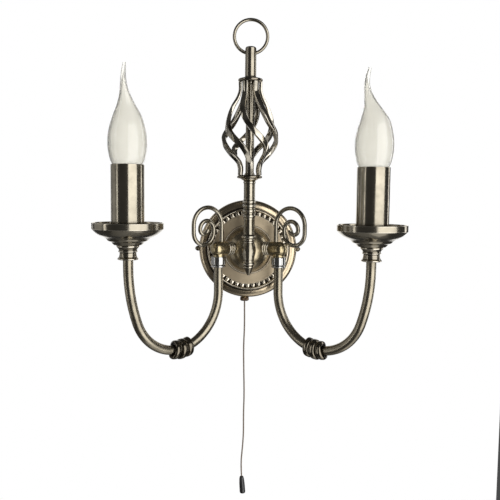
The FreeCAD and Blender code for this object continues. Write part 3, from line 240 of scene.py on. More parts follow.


# Shapes: a shape is its points in millimetres, its faces, and each point's level of patina and rubbing, with
# painted shade and highlight


def eased(outline):
    """Closed outline with its corners rounded, as points of radius, height and level: hollow corners darker,
    as patina and painted shade, and standing edges brighter, as rubbed brass and painted highlight.

    A point of the outline is its radius and height, its rounding, and its own level if it has one."""
    spots = [Vector(point[:2]) for point in outline]
    area = sum(a.x*b.y - b.x*a.y for a, b in zip(spots, spots[1:] + spots[:1]))
    result = []
    for place, point in enumerate(outline):
        here, before, after = spots[place], spots[place - 1], spots[(place + 1) % len(spots)]
        if here.x < 1e-6:
            result.append((0.0, here.y, PLAIN))
            continue
        onto, off = here - before, after - here
        turn = degrees(atan2(onto.x*off.y - onto.y*off.x, onto.dot(off)))*(1 if area > 0 else -1)
        ease = point[2] if len(point) > 2 else EASE
        reach = min(ease, EASE_SHARE*onto.length, EASE_SHARE*off.length)
        edge = 0.5*min(max(turn/EDGE_TURN, -1), 1)*(1 if ease <= EDGE_EASE else 0)
        own = point[3] if len(point) > 3 else PLAIN
        start, end = here - onto.normalized()*reach, here + off.normalized()*reach
        if onto.length > GUARD_ROOM*(reach + GUARD):
            spot = start - onto.normalized()*GUARD
            result.append((spot.x, spot.y, own))
        for step in range(EASE_STEPS + 1):
            share = step/EASE_STEPS
            spot = start*(1 - share)**2 + here*2*share*(1 - share) + end*share**2
            worn_and_lit = own + edge*(0.4 + 0.6*sin(pi*share)) if own == PLAIN else own
            result.append((spot.x, spot.y, worn_and_lit))
        if off.length > GUARD_ROOM*(reach + GUARD):
            spot = end + off.normalized()*GUARD
            result.append((spot.x, spot.y, own))
    return result


def skinned(rings, loop=False, wear_and_painted_light=None):
    """Shape through rings of points, closed round as a loop or capped at both ends."""
    size, count = len(rings[0]), len(rings)
    points = [point for ring in rings for point in ring]
    faces = []
    for place in range(count if loop else count - 1):
        low, high = place*size, (place + 1) % count*size
        for spot in range(size):
            after = (spot + 1) % size
            faces.append((low + spot, low + after, high + after, high + spot))
    if not loop:
        faces.append(tuple(reversed(range(size))))
        faces.append(tuple(range(len(points) - size, len(points))))
    return points, faces, wear_and_painted_light or [PLAIN]*len(points)


def lathe(outline, around=AROUND):
    """Shape turned about Z from an outline of radii and heights."""
    rings, wear_and_painted_light = [], []
    profile = eased(outline)
    for step in range(around):
        angle = 2*pi*step/around
        rings.append([Vector((r*cos(angle), r*sin(angle), h)) for r, h, _ in profile])
        wear_and_painted_light += [w for _, _, w in profile]
    return skinned(rings, True, wear_and_painted_light)


def moved(shape, *matrices):
    """Shape placed by matrices, the last of them first; a mirrored one is turned right side out."""
    total = Matrix.Identity(4)
    for matrix in matrices:
        total = total @ matrix
    points, faces, wear_and_painted_light = shape
    if total.determinant() < 0:
        faces = [tuple(reversed(face)) for face in faces]
    return [total @ point for point in points], faces, wear_and_painted_light


def together(*shapes):
    """Several shapes as one."""
    points, faces, wear_and_painted_light = [], [], []
    for part in shapes:
        shift = len(points)
        points += part[0]
        faces += [tuple(corner + shift for corner in face) for face in part[1]]
        wear_and_painted_light += part[2]
    return points, faces, wear_and_painted_light


def made(name, shape, material, nodes=(), body="root", sharp=SHARP):
    """Blender piece of a shape, in metres, with its levels of patina and rubbing, and of painted shade and
    highlight, stored on its points.
    """
    points, faces, wear_and_painted_light = shape
    mesh = bpy.data.meshes.new(name)
    work = bmesh.new()
    layer = work.verts.layers.float.new("wear_and_painted_light")
    corners = []
    for point, worn_and_lit in zip(points, wear_and_painted_light):
        corner = work.verts.new(point*MM)
        corner[layer] = worn_and_lit
        corners.append(corner)
    for face in faces:
        if len(set(face)) > 2:
            work.faces.new([corners[corner] for corner in face])
    bmesh.ops.remove_doubles(work, verts=work.verts, dist=MERGE)
    bmesh.ops.dissolve_degenerate(work, edges=work.edges, dist=SLIVER)
    bmesh.ops.recalc_face_normals(work, faces=work.faces)
    work.to_mesh(mesh)
    work.free()
    mesh.shade_smooth()
    mesh.set_sharp_from_angle(angle=radians(sharp))
    mesh.materials.append(material)
    piece = bpy.data.objects.new(name, mesh)
    bpy.context.scene.collection.objects.link(piece)
    return settled(piece, nodes, body)


def settled(piece, nodes, body):
    """Piece on its body and the CAD nodes that it stands for."""
    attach(piece, body)
    if nodes:
        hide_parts(*nodes)
    return piece


def shifted(x=0.0, y=0.0, z=0.0):
    """Matrix of a move."""
    return Matrix.Translation((x, y, z))


def turned(angle, axis):
    """Matrix of a turn about an axis."""
    return Matrix.Rotation(radians(angle), 4, axis)


FACING_OUT = turned(90, "X")                             # from standing on Z to facing out of the wall
ON_COLUMN = shifted(0, -COLUMN_DEPTH, 0)
ALONG_ARM = shifted(0, 0, ELBOW_RISE) @ turned(90, "Y")  # from Z to along the arm's plane
MIRROR = Matrix.Diagonal((-1, 1, 1, 1))


def on_side(side):
    """Place of an arm's own plane, on the right or mirrored to the left."""
    right = shifted(ELBOW_REACH, -ELBOW_DEPTH, 0) @ turned(-SPREAD, "Z")
    return right if side == "right" else MIRROR @ right


def candle_axis(side):
    """Place of a candle's upright axis, unturned."""
    x = ELBOW_REACH + ARM_REACH*cos(radians(SPREAD))
    y = -ELBOW_DEPTH - ARM_REACH*sin(radians(SPREAD))
    return shifted(x if side == "right" else -x, y, 0)


def bent(start, heading, *moves):
    """Points and directions of a rod bent in the XZ plane: a move is a length, or a radius and a turn."""
    here = Vector((start[0], 0, start[1]))
    way = radians(heading)
    path = [(here.copy(), Vector((cos(way), 0, sin(way))))]
    for move in moves:
        if isinstance(move, tuple):
            radius, turn = move
            steps = max(2, ceil(abs(turn)/BEND_STEP))
            side = 1 if turn > 0 else -1
            centre = here + Vector((-sin(way), 0, cos(way)))*radius*side
            for step in range(1, steps + 1):
                at = way + radians(turn)*step/steps
                spot = centre - Vector((-sin(at), 0, cos(at)))*radius*side
                path.append((spot, Vector((cos(at), 0, sin(at)))))
            way += radians(turn)
        else:
            steps = max(1, ceil(move/RUN_STEP))
            along = Vector((cos(way), 0, sin(way)))
            path += [(here + along*move*step/steps, along) for step in range(1, steps + 1)]
        here = path[-1][0].copy()
    return path


def tube(path, radius, sides, tip=0.0):
    """Rod along a path in the XZ plane, whose far end may be domed."""
    stations = [(spot, along, radius) for spot, along in path]
    if tip:
        last, along = path[-1]
        stations.pop()
        for step in range(DOME_STEPS):
            angle = pi/2*step/DOME_STEPS
            stations.append((last + along*(tip*sin(angle) - tip), along, radius*cos(angle)))
    rings = []
    for spot, along, width in stations:
        across = along.cross(Y)
        turns = [2*pi*side/sides for side in range(sides)]
        rings.append([spot + (across*cos(turn) + Y*sin(turn))*width for turn in turns])
    return skinned(rings)


def smooth_between(table, at):
    """Value at a place between a table's rows, on a curve with the rows' own slopes."""
    spot = max(row for row in range(len(table) - 1) if table[row][0] <= at or row == 0)
    (x0, y0), (x1, y1) = table[spot][:2], table[spot + 1][:2]

    def slope(row):
        if row in (0, len(table) - 1):
            return 0.0
        (xa, ya), (xb, yb), (xc, yc) = (table[near][:2] for near in (row - 1, row, row + 1))
        left, right = (yb - ya)/(xb - xa), (yc - yb)/(xc - xb)
        return (left*(xc - xb) + right*(xb - xa))/(xc - xa)

    step = x1 - x0
    t = (at - x0)/step
    return (y0*(2*t**3 - 3*t**2 + 1) + slope(spot)*step*(t**3 - 2*t**2 + t)
            + y1*(3*t**2 - 2*t**3) + slope(spot + 1)*step*(t**3 - t**2))


# Materials


def node(tree, kind, inputs=None, **settings):
    """Shader node with its settings, and inputs that are values or other nodes' outputs."""
    added = tree.nodes.new("ShaderNode" + kind)
    for name, value in settings.items():
        setattr(added, name, value)
    for name, value in (inputs or {}).items():
        if isinstance(value, bpy.types.NodeSocket):
            tree.links.new(value, added.inputs[name])
        else:
            added.inputs[name].default_value = value
    return added


def blank(name):
    """New node material, its tree and its main shader."""
    material = bpy.data.materials.new(name)
    material.use_nodes = True
    return material, material.node_tree, material.node_tree.nodes["Principled BSDF"]


def computed(tree, operation, first, second):
    """Result of an operation on two values."""
    return node(tree, "Math", {0: first, 1: second}, operation=operation).outputs[0]


def between(tree, value, low, high, to_low=0.0, to_high=1.0):
    """Value brought from one range into another."""
    ranges = {"Value": value, "From Min": low, "From Max": high, "To Min": to_low, "To Max": to_high}
    return node(tree, "MapRange", ranges).outputs["Result"]


def mixed(tree, share, first, second):
    """Colour between two."""
    mix = tree.nodes.new("ShaderNodeMix")
    mix.data_type = "RGBA"
    for socket, value in ((mix.inputs["Factor"], share), (mix.inputs[6], first), (mix.inputs[7], second)):
        if isinstance(value, bpy.types.NodeSocket):
            tree.links.new(value, socket)
        else:
            socket.default_value = value
    return mix.outputs[2]


def rgb(red, green, blue):
    return (red, green, blue, 1.0)


def own_place(tree):
    """Place on the piece, in metres."""
    return node(tree, "TexCoord").outputs["Object"]


def spots(tree, scale, stretch=(1, 1, 1), detail=3.0):
    """Noise over the piece, finer along an axis by its stretch."""
    place = node(tree, "VectorMath", {0: own_place(tree), 1: stretch}, operation="MULTIPLY").outputs[0]
    return node(tree, "TexNoise", {"Vector": place, "Scale": scale, "Detail": detail}).outputs["Fac"]


def from_middle(tree):
    """Distance from the axis through the plate's middle, in metres."""
    flat = node(tree, "VectorMath", {0: own_place(tree), 1: (1, 0, 1)}, operation="MULTIPLY").outputs[0]
    return node(tree, "VectorMath", {0: flat}, operation="LENGTH").outputs["Value"]


def fine_lines(tree, lines):
    """Turning marks about the plate's axis (Y) or an upright one (Z), or a fine grain."""
    if lines == "Y":
        noise = {"W": from_middle(tree), "Scale": 2600, "Detail": 2.0}
        return node(tree, "TexNoise", noise, noise_dimensions="1D").outputs["Fac"]
    if lines == "Z":
        return spots(tree, 90, (1, 1, 60), 2.0)
    return spots(tree, 900, (1, 1, 1), 2.0)


def relief(tree, shader, *layers):
    """Bump of one or more layers, each a height, a strength and a distance in metres."""
    below = None
    for height, strength, distance in layers:
        bump = node(tree, "Bump", {"Height": height, "Strength": strength, "Distance": distance})
        if below:
            tree.links.new(below, bump.inputs["Normal"])
        below = bump.outputs["Normal"]
    tree.links.new(below, shader.inputs["Normal"])


def metal(name, colour, dark, worn_and_lit, rough, lines="Z", mottle=0.35, has_wear_and_light=True, satin=None):
    """Brushed and lacquered metal, darker in its hollows, as patina and painted shade, and brighter on its
    edges, as rubbed brass and painted highlight.

    satin is a radius about the plate's middle, in metres, and the roughness of the metal inside it."""
    material, tree, shader = blank(name)
    streaks = fine_lines(tree, lines)
    clouds = spots(tree, 70, detail=4.0)
    speckle = spots(tree, 1500, detail=2.0)
    tone = mixed(tree, between(tree, clouds, 0.35, 0.7, 0.0, mottle), colour, dark)
    if has_wear_and_light:
        wear_and_painted_light = node(tree, "Attribute", attribute_name="wear_and_painted_light").outputs["Fac"]
        wear_and_painted_light = computed(tree, "ADD", wear_and_painted_light, computed(tree, "MULTIPLY", speckle, 0.16))
        # Low levels darken towards patina and painted shade, high levels brighten towards rubbed brass and
        # painted highlight
        tone = mixed(tree, between(tree, wear_and_painted_light, 0.5, 0.16, 0.0, 0.95), tone, dark)
        tone = mixed(tree, between(tree, wear_and_painted_light, 0.66, 1.0, 0.0, 0.85), tone, worn_and_lit)
    tree.links.new(tone, shader.inputs["Base Color"])
    shader.inputs["Metallic"].default_value = 1.0
    sheen = computed(tree, "ADD", between(tree, streaks, 0.3, 0.7, rough*0.8, rough*1.25),
                 between(tree, clouds, 0.3, 0.7, -0.03, 0.05))
    if satin:
        radius, inside = satin
        extra = between(tree, from_middle(tree), radius, radius + MM, inside - rough, 0.0)
        sheen = computed(tree, "ADD", sheen, extra)
    tree.links.new(sheen, shader.inputs["Roughness"])
    relief(tree, shader, (streaks, 0.05, 0.00003), (speckle, 0.04, 0.00003))
    return material


def plastic(name, colour, shade, rough):
    """Moulded plastic with a fine grain and a slight change of tone."""
    material, tree, shader = blank(name)
    clouds = spots(tree, 60)
    grain = spots(tree, 1800, detail=2.0)
    tree.links.new(mixed(tree, clouds, colour, shade), shader.inputs["Base Color"])
    tree.links.new(between(tree, grain, 0.3, 0.7, rough*0.85, rough*1.2), shader.inputs["Roughness"])
    relief(tree, shader, (grain, 0.15, 0.00004))
    return material


def frosted_glass():
    """Etched glass: rough and milky, with painted shade that makes its colour a little darker where it turns
    away.
    """
    material, tree, shader = blank("frosted_glass")
    grain = spots(tree, 1600, detail=2.0)
    clouds = spots(tree, 45)
    rim = node(tree, "LayerWeight", {"Blend": 0.32}).outputs["Facing"]
    tone = mixed(tree, between(tree, clouds, 0.3, 0.7), rgb(1.0, 0.985, 0.93), rgb(0.985, 0.97, 0.905))
    # Painted shade: the colour darkens where the glass turns away from the view
    tone = mixed(tree, between(tree, rim, 0.55, 1.0, 0.0, 0.6), tone, rgb(0.84, 0.82, 0.75))
    tree.links.new(tone, shader.inputs["Base Color"])
    shader.inputs["Transmission Weight"].default_value = 0.8
    shader.inputs["IOR"].default_value = 1.45
    tree.links.new(between(tree, grain, 0.3, 0.7, 0.15, 0.23), shader.inputs["Roughness"])
    relief(tree, shader, (grain, 0.12, 0.00003))
    return material


def braid():
    """Fine braided cord: two sets of threads that cross."""
    material, tree, shader = blank("cord_braid")
    place = own_place(tree)
    threads = []
    for lean in (42, -42):
        tilted = node(tree, "Mapping", {"Vector": place, "Rotation": (0, radians(lean), 0)}).outputs["Vector"]
        wave = {"Vector": tilted, "Scale": 700, "Distortion": 1.0, "Detail": 1.0}
        threads.append(node(tree, "TexWave", wave, bands_direction="Z").outputs["Fac"])
    crossed = computed(tree, "MULTIPLY", *threads)
    tone = mixed(tree, between(tree, crossed, 0.0, 0.8), rgb(0.13, 0.10, 0.075), rgb(0.34, 0.27, 0.21))
    tree.links.new(tone, shader.inputs["Base Color"])
    shader.inputs["Roughness"].default_value = 0.8
    relief(tree, shader, (crossed, 0.5, 0.0001))
    return material


# Colours of hollows, patina with painted shade, and of edges, rubbed brass with painted highlight
PATINA_AND_SHADE = rgb(0.035, 0.028, 0.020)
RUBBED_AND_HIGHLIGHT = rgb(0.86, 0.80, 0.68)

brass = metal("antique_brass", rgb(0.36, 0.325, 0.255), PATINA_AND_SHADE, RUBBED_AND_HIGHLIGHT, 0.16)
plate_brass = metal("antique_brass_plate", rgb(0.52, 0.43, 0.30), PATINA_AND_SHADE, RUBBED_AND_HIGHLIGHT, 0.20, "Y", 0.2,
                    satin=(0.0355, 0.5))
hub_brass = metal("antique_brass_hub", rgb(0.42, 0.355, 0.24), PATINA_AND_SHADE, RUBBED_AND_HIGHLIGHT, 0.25, "Y", 0.15)
elbow_brass = metal("antique_brass_elbow", rgb(0.46, 0.38, 0.23), PATINA_AND_SHADE, RUBBED_AND_HIGHLIGHT, 0.24, "", 0.25)
# Darker copy of the brass for the cage discs: painted shade
shaded_disc_brass = metal("antique_brass_disc_painted_shade", rgb(0.15, 0.13, 0.10), PATINA_AND_SHADE, rgb(0.36, 0.32, 0.25), 0.12)
arm_brass = metal("dark_brass", rgb(0.32, 0.285, 0.215), PATINA_AND_SHADE, RUBBED_AND_HIGHLIGHT, 0.26, "", 0.3)
# Darker copy of the arms' brass for the knots: painted shade
shaded_knot_brass = metal("dark_brass_knots_painted_shade", rgb(0.17, 0.15, 0.115), PATINA_AND_SHADE, rgb(0.5, 0.46, 0.38), 0.14, "", 0.35)
screw_brass = metal("dark_brass_screws", rgb(0.14, 0.115, 0.08), PATINA_AND_SHADE, rgb(0.5, 0.44, 0.33), 0.15, "", 0.35)
cage_brass = metal("bright_brass", rgb(0.50, 0.46, 0.38), rgb(0.02, 0.017, 0.012), RUBBED_AND_HIGHLIGHT, 0.10, "", 0.9)
nut_brass = metal("brass_thread", rgb(0.085, 0.058, 0.038), rgb(0.02, 0.014, 0.01), rgb(0.30, 0.22, 0.14),
                  0.25, "")
thread_brass = metal("brass_thread_plain", rgb(0.50, 0.38, 0.18), rgb(0.2, 0.14, 0.06), RUBBED_AND_HIGHLIGHT, 0.28, "", 0.5,
                     has_wear_and_light=False)
nickel = metal("nickel", rgb(0.43, 0.425, 0.41), rgb(0.04, 0.04, 0.04), rgb(0.7, 0.69, 0.67), 0.08, "Z", 0.15)
cap_metal = metal("cap_metal", rgb(0.66, 0.66, 0.65), rgb(0.25, 0.25, 0.25), rgb(0.9, 0.9, 0.9), 0.28)
zinc = metal("zinc_steel", rgb(0.56, 0.57, 0.57), rgb(0.34, 0.35, 0.36), RUBBED_AND_HIGHLIGHT, 0.34, "", 0.6,
             has_wear_and_light=False)
cream = plastic("cream_plastic", rgb(0.80, 0.76, 0.66), rgb(0.73, 0.69, 0.60), 0.42)
black = plastic("black_plastic", rgb(0.012, 0.012, 0.013), rgb(0.025, 0.024, 0.024), 0.22)
glass = frosted_glass()
cord_braid = braid()


# The cord and its weight


def pull_cord(weight):
    """Hanging cord, a spline through the route's points."""
    curve = bpy.data.curves.new("pull_cord_line", "CURVE")
    curve.dimensions = "3D"
    curve.bevel_depth = CORD_RADIUS*MM
    curve.bevel_resolution = 4
    curve.use_fill_caps = True
    line = curve.splines.new("NURBS")
    line.points.add(len(CORD_POINTS) - 1)
    for point, (x, height, forward) in zip(line.points, CORD_POINTS):
        point.co = (x*MM, (CORD_BUSH[1] - forward)*MM, height*MM, 1.0)
    line.order_u = 3
    line.use_endpoint_u = True
    line.resolution_u = 24
    curve.materials.append(cord_braid)
    piece = bpy.data.objects.new("pull_cord_line", curve)
    bpy.context.scene.collection.objects.link(piece)
    settled(piece, ["pull_cord"], "cord")


def cord_weight():
    """Moulded weight on the cord's end, with a groove round its foot and a narrow neck."""
    (x, z, forward), (x0, z0, forward0) = CORD_POINTS[-1], CORD_POINTS[-2]
    end = Vector((x, CORD_BUSH[1] - forward, z))
    along = (end - Vector((x0, CORD_BUSH[1] - forward0, z0))).normalized()
    shape = lathe([
        (0, PULL_BOTTOM), (2.7, PULL_BOTTOM, 0.6), (3.0, -12.4, 0.5), (3.0, -8.4, 0.4), (2.75, -8.0, 0.2),
        (3.0, -7.6, 0.4), (2.85, -2.2, 0.3), (2.5, 2.4, 0.8), (1.9, 4.7, 0.8), (0.8, PULL_GRIP, 0.3),
        (0.8, 0.0, 0.1), (0, 0)], SMALL_AROUND)
    placed = Matrix.Translation(end) @ Vector((0, 0, -1)).rotation_difference(along).to_matrix().to_4x4()
    return made("cord_weight", moved(shape, placed), black, ["cord_pull"], "cord")


# Wall plate and hub


def plate_shell():
    """Spun plate: straight side, rolled rim, ridge, bead channel, brushed face and lip."""
    # The groove between the rolled rim and the ridge, at level 0.1, and the bead channel's floor, at 0.0, are
    # dark with painted shade and patina
    return moved(lathe([
        (PLATE_RADIUS, 0), (PLATE_RADIUS, 8.2, 0.6), (PLATE_RADIUS - 0.35, 10.2, 1.3), (48.9, 12.6, 1.4),
        (46.6, 14.0, 1.4), (44.2, 14.7, 1.4), (42.6, 14.9, 0.3, 0.1), (41.8, 15.1, 0.3, 0.1),
        (41.3, 15.9, 0.5), (40.5, 16.1, 0.5), (39.7, 15.6, 0.4), (39.6, BEAD_FLOOR, 0.2, 0.0),
        (35.6, BEAD_FLOOR, 0.2, 0.0), (35.6, 15.4, 0.3), (25.1, 16.95, 0.3), (24.9, 17.7, 0.3),
        (24.4, 17.95, 0.3), (23.9, 17.7, 0.3), (23.6, PLATE_FACE, 0.2), (19.0, PLATE_FACE), (19.0, 15.8),
        (24.9, 15.8, 0.8), (34.4, 13.0, 0.8), (45.5, 13.0, 3.8), (49.3, 9.2, 3.8), (49.3, 0)],
        PLATE_AROUND), FACING_OUT)


def rounded_block(width, length, ease, height, steps=3):
    """Ring of points round a rectangle with rounded corners, at a height."""
    ring = []
    for quarter in range(4):
        turn = pi/2*quarter
        across, along = (width, length) if quarter % 2 == 0 else (length, width)
        corner = Vector((across/2 - ease, along/2 - ease))
        for step in range(steps + 1):
            angle = pi/2*step/steps
            spot = corner + Vector((cos(angle), sin(angle)))*ease
            x = spot.x*cos(turn) - spot.y*sin(turn)
            y = spot.x*sin(turn) + spot.y*cos(turn)
            ring.append(Vector((x, y, height)))
    return ring


def beads():
    """Teeth in the bead channel, with rounded tops."""
    rings, wear_and_painted_light = [], []
    # Each tooth's levels paint a highlight on its top and shade at its foot
    for height, inset, worn_and_lit in BEAD_LEVELS:
        ring = rounded_block(BEAD_OUTER - 2*inset, BEAD_LENGTH - 2*inset, BEAD_CORNER, height)
        for spot in ring:
            share = 0.5 - spot.y/BEAD_LENGTH
            spot.x *= 1 + share*(BEAD_INNER/BEAD_OUTER - 1)
        rings.append(ring)
        wear_and_painted_light += [worn_and_lit]*len(ring)
    tooth = skinned(rings, wear_and_painted_light=wear_and_painted_light)
    in_channel = shifted(0, BEAD_RING, BEAD_FLOOR - BEAD_SINK)
    turns = [turned(place*360/BEAD_COUNT, "Z") for place in range(BEAD_COUNT)]
    return together(*[moved(tooth, FACING_OUT, turn, in_channel) for turn in turns])


def hub_shell():
    """Domed hub, rolled at its foot where it stands on the plate."""
    outer, inner = HUB_RADIUS, HUB_RADIUS - HUB_WALL
    middle = PLATE_FACE + HUB_LIFT
    turns = [pi/2*step/HUB_STEPS for step in range(1, HUB_STEPS)]
    foot = [(inner, PLATE_FACE, 0.2), (outer + 0.35, PLATE_FACE, 0.3), (outer + 0.3, PLATE_FACE + 0.7, 0.4)]
    rise = [(outer*cos(turn), middle + outer*sin(turn), 3.0) for turn in turns]
    fall = [(inner*cos(turn), middle + inner*sin(turn), 3.0) for turn in reversed(turns)]
    outline = [*foot, *rise, (0, middle + outer), (0, middle + inner), *fall]
    return moved(lathe(outline, LARGE_AROUND), FACING_OUT)


def plate_screw(side):
    """Acorn-headed screw at the plate's edge."""
    shape = lathe([
        (0, -6.5), (1.9, -6.5), (1.9, 0), (2.3, 0.02, 0.2), (2.75, 0.5, 0.4), (2.75, 1.6, 0.4),
        (2.5, 2.2, 0.5), (1.7, 3.5, 0.8), (0.6, 4.15, 0.5), (0, 4.2)], SCREW_AROUND)
    placed = shifted(PLATE_RADIUS + SCREW_GAP, -SCREW_DEPTH, 0) @ turned(90, "Y")
    return moved(shape, placed if side == "right" else MIRROR @ placed)


def bush_nut():
    """Knurled nut that the cord comes out of, from a profile of radii, heights and shares of the knurl."""
    profile = [(3.05, -54.55, 0), (3.9, -54.55, 0), (4.35, -54.1, 0.3), (4.45, -53.5, 1), (4.45, -51.6, 1),
               (4.3, -51.0, 0.4), (4.0, -50.6, 0), (3.05, -50.6, 0)]
    rings, wear_and_painted_light = [], []
    for step in range(NUT_AROUND):
        angle = 2*pi*step/NUT_AROUND
        tooth = KNURL_DEPTH*cos(KNURLS*angle)
        ring = [(r + tooth*knurl, h) for r, h, knurl in profile]
        rings.append([Vector((CORD_BUSH[0] + r*cos(angle), CORD_BUSH[1] + r*sin(angle), h)) for r, h in ring])
        # Knurl crests are lighter and grooves darker: rubbing and patina with painted highlight and shade
        wear_and_painted_light += [PLAIN + 2*tooth*knurl for _, _, knurl in profile]
    return skinned(rings, True, wear_and_painted_light)


def wall_plate():
    """Plate with its beads and screws, hub, and the cord's nut."""
    screws = together(*[plate_screw(side) for side in SIDES])
    made("plate_shell", plate_shell(), plate_brass, ["wall_plate"])
    made("plate_beads", beads(), plate_brass, sharp=50)
    made("hub_dome", hub_shell(), hub_brass, ["hub"])
    made("acorn_screws", screws, screw_brass, ["plate_screws"])
    made("knurled_nut", bush_nut(), nut_brass, ["bush_nut"])


# Column and cage


def column():
    """Turned pieces of the upright, from the finial to the stem, and the ring through the stem."""
    pieces = {
        "finial": [
            (0, -23.1), (1.2, -22.9, 0.6), (2.9, -19.4, 2.0), (4.6, -15.6, 0.6), (5.2, -15.0, 0.3),
            (5.25, -14.2, 0.3), (4.8, -13.8, 0.2), (4.7, -13.3, 0.2), (5.9, -12.8, 0.4), (6.3, -12.0, 0.4),
            (6.2, -10.8, 0.4), (5.7, -10.2, 0.3), (5.6, -9.8), (0, -9.8)],
        "vase": [
            (ROD_BORE, -9.8), (5.6, -9.8, 0.3), (5.7, -9.2, 0.3), (5.2, -7.6, 1.0), (5.7, -4.6, 2.0),
            (6.8, -0.6, 2.5), (7.0, 2.6, 2.0), (6.3, 6.2, 2.0), (5.5, 8.4, 0.8), (5.2, 9.2, 0.2),
            (5.6, 9.5, 0.25), (5.65, 10.3, 0.25), (5.2, 10.7, 0.2), (5.2, 11.1, 0.2), (5.7, 11.5, 0.3),
            (5.7, 12.5, 0.3), (5.1, 12.8, 0.2), (5.1, 13.1), (ROD_BORE, 13.1)],
        "lower_spindle": [
            (ROD_BORE, 13.1), (6.2, 13.1, 0.3), (7.3, 13.9, 0.8), (7.5, 14.85, 0.7), (7.3, 15.8, 0.8),
            (6.2, 16.6, 0.3), (5.5, 16.9, 0.3), (5.5, 32.2), (ROD_BORE, 32.2)],
        "ribbed_collar": [
            (ROD_BORE, 32.2), (5.7, 32.2, 0.2), *collar_ribs(), (5.7, 51.5, 0.2), (ROD_BORE, 51.5)],
        "upper_spindle": [
            (ROD_BORE, 51.5), (5.5, 51.5, 0.2), (5.5, 66.2, 0.4), (6.0, 66.9, 0.5), (6.1, 67.8, 0.5),
            (5.6, 68.6, 0.3), (6.4, 69.3, 0.6), (8.4, 70.3, 0.5), (8.4, 70.8, 0.1), (ROD_BORE, 70.8)],
        "cage_foot": cage_disc(12.3, 70.8),
        "cage_post": [
            (ROD_BORE, 74.4), (5.0, 74.4, 0.2), (5.0, 75.6, 0.4), (4.1, 76.6, 0.4), (4.1, 160.2, 0.4),
            (5.0, 161.4, 0.4), (5.0, 162.4, 0.2), (ROD_BORE, 162.4)],
        "cage_head": cage_disc(11.95, 162.4),
        "stem": [
            (0, 166.0), (6.1, 166.0, 0.2), (6.1, 166.7, 0.3), (5.4, 167.6, 0.5), (5.3, 194.1, 0.9),
            (4.6, 195.2, 0.9), (2.6, 195.85, 1.2), (0, 195.9)]}
    for name, outline in pieces.items():
        # The cage discs take the darker brass, whose darkness is painted shade
        finish = shaded_disc_brass if name in ("cage_foot", "cage_head") else brass
        made(name + "_turned", moved(lathe(outline), ON_COLUMN), finish, [name])
    made("top_ring_round", top_ring(), brass, ["top_ring"], sharp=60)


def collar_ribs():
    """Rounded ribs with shallow necks between them."""
    ribs = []
    for height in COLLAR_RIBS:
        ribs += [(5.7, height - 1.3, 0.3), (6.3, height - 0.7, 0.5), (6.35, height + 0.7, 0.5),
                 (5.7, height + 1.3, 0.3)]
    return ribs


def cage_disc(radius, bottom):
    """Outline of a cage disc: a rolled edge between two fillets."""
    top = bottom + DISC_THICK
    return [(ROD_BORE, bottom), (radius - 2.2, bottom, 0.2), (radius - 1.3, bottom + 0.35, 0.3),
            (radius - 0.3, bottom + 0.7, 0.7), (radius, bottom + 1.8, 0.8), (radius - 0.3, top - 0.7, 0.7),
            (radius - 1.3, top - 0.35, 0.3), (radius - 2.2, top, 0.2), (ROD_BORE, top)]


def top_ring():
    """Round ring through the stem's head."""
    turns = [2*pi*step/RING_SIDES for step in range(RING_SIDES)]
    outline = [(RING_RADIUS + RING_WIRE*cos(turn), RING_WIRE*sin(turn), 2.0) for turn in turns]
    return moved(lathe(outline, LARGE_AROUND), shifted(0, -COLUMN_DEPTH, RING_HEIGHT), FACING_OUT)


def bar_place(height):
    """Middle of a cage bar at a height above the foot disc, its way out, and its thickness."""
    radius = smooth_between(CAGE_SHAPE, height)
    angle = radians(CAGE_START + CAGE_TWIST*smooth_between(CAGE_TURN, height))
    out = Vector((sin(angle), -cos(angle), 0))
    thick = BAR_THICK + BAR_SWELL*sin(pi*height/CAGE_HEIGHT)**2
    return out*(radius - thick/2) + Z*(CAGE_BOTTOM + height), out, thick


def cage_bar():
    """Flat bar with eased edges and a shallow crown, bellied and twisted a quarter turn."""
    rings, wear_and_painted_light = [], []
    for step in range(BAR_STEPS + 1):
        height = CAGE_HEIGHT*step/BAR_STEPS
        middle, out, deep = bar_place(height)
        ahead = bar_place(min(height + BAR_NEAR, CAGE_HEIGHT))[0]
        behind = bar_place(max(height - BAR_NEAR, 0))[0]
        along = Z if step in (0, BAR_STEPS) else (ahead - behind).normalized()
        thick = (out - along*out.dot(along)).normalized()
        wide = along.cross(thick).normalized()
        ring = []
        for spot in rounded_block(BAR_WIDTH, deep - 2*BAR_CROWN, BAR_EASE, 0):
            crown = BAR_CROWN*cos(pi*spot.x/BAR_WIDTH)*(1 if spot.y > 0 else -1)
            ring.append(middle + wide*spot.x + thick*(spot.y + crown))
            # A bar's edges are brightened: a painted highlight
            wear_and_painted_light.append(BAR_EDGE_HIGHLIGHT if abs(spot.x) > BAR_WIDTH/2 - BAR_EASE*0.9 else PLAIN)
        rings.append(ring)
    return skinned(rings, wear_and_painted_light=wear_and_painted_light)


def cage():
    """All bars of the cage, as one piece."""
    bar = cage_bar()
    bars = [moved(bar, ON_COLUMN, turned(place*360/BAR_COUNT, "Z")) for place in range(BAR_COUNT)]
    made("cage_bars_twisted", together(*bars), cage_brass, ["cage_bars"], sharp=50)


# Arms


def second_bend():
    """Radius of the arm's second bend, which makes up the rest of its reach."""
    first, third = FIRST_BEND, THIRD_BEND
    reach = first[0]*(1 - cos(radians(first[1]))) + third[0]*(1 - cos(radians(third[1])))
    return (ARM_REACH - reach)/(cos(radians(first[1])) + cos(radians(third[1])))


def arm_path():
    """Path of the arm from inside its elbow down, round and up to its cup."""
    first, second, third = FIRST_BEND, (second_bend(), SECOND_TURN), THIRD_BEND
    height = -ARM_DROP - first[0]*sin(radians(first[1]))
    height += second[0]*(sin(radians(first[1])) - sin(radians(third[1]))) + third[0]*sin(radians(third[1]))
    return bent((0, ARM_TOP), -90, ARM_DROP + ARM_TOP, first, second, third, ARM_END - height)


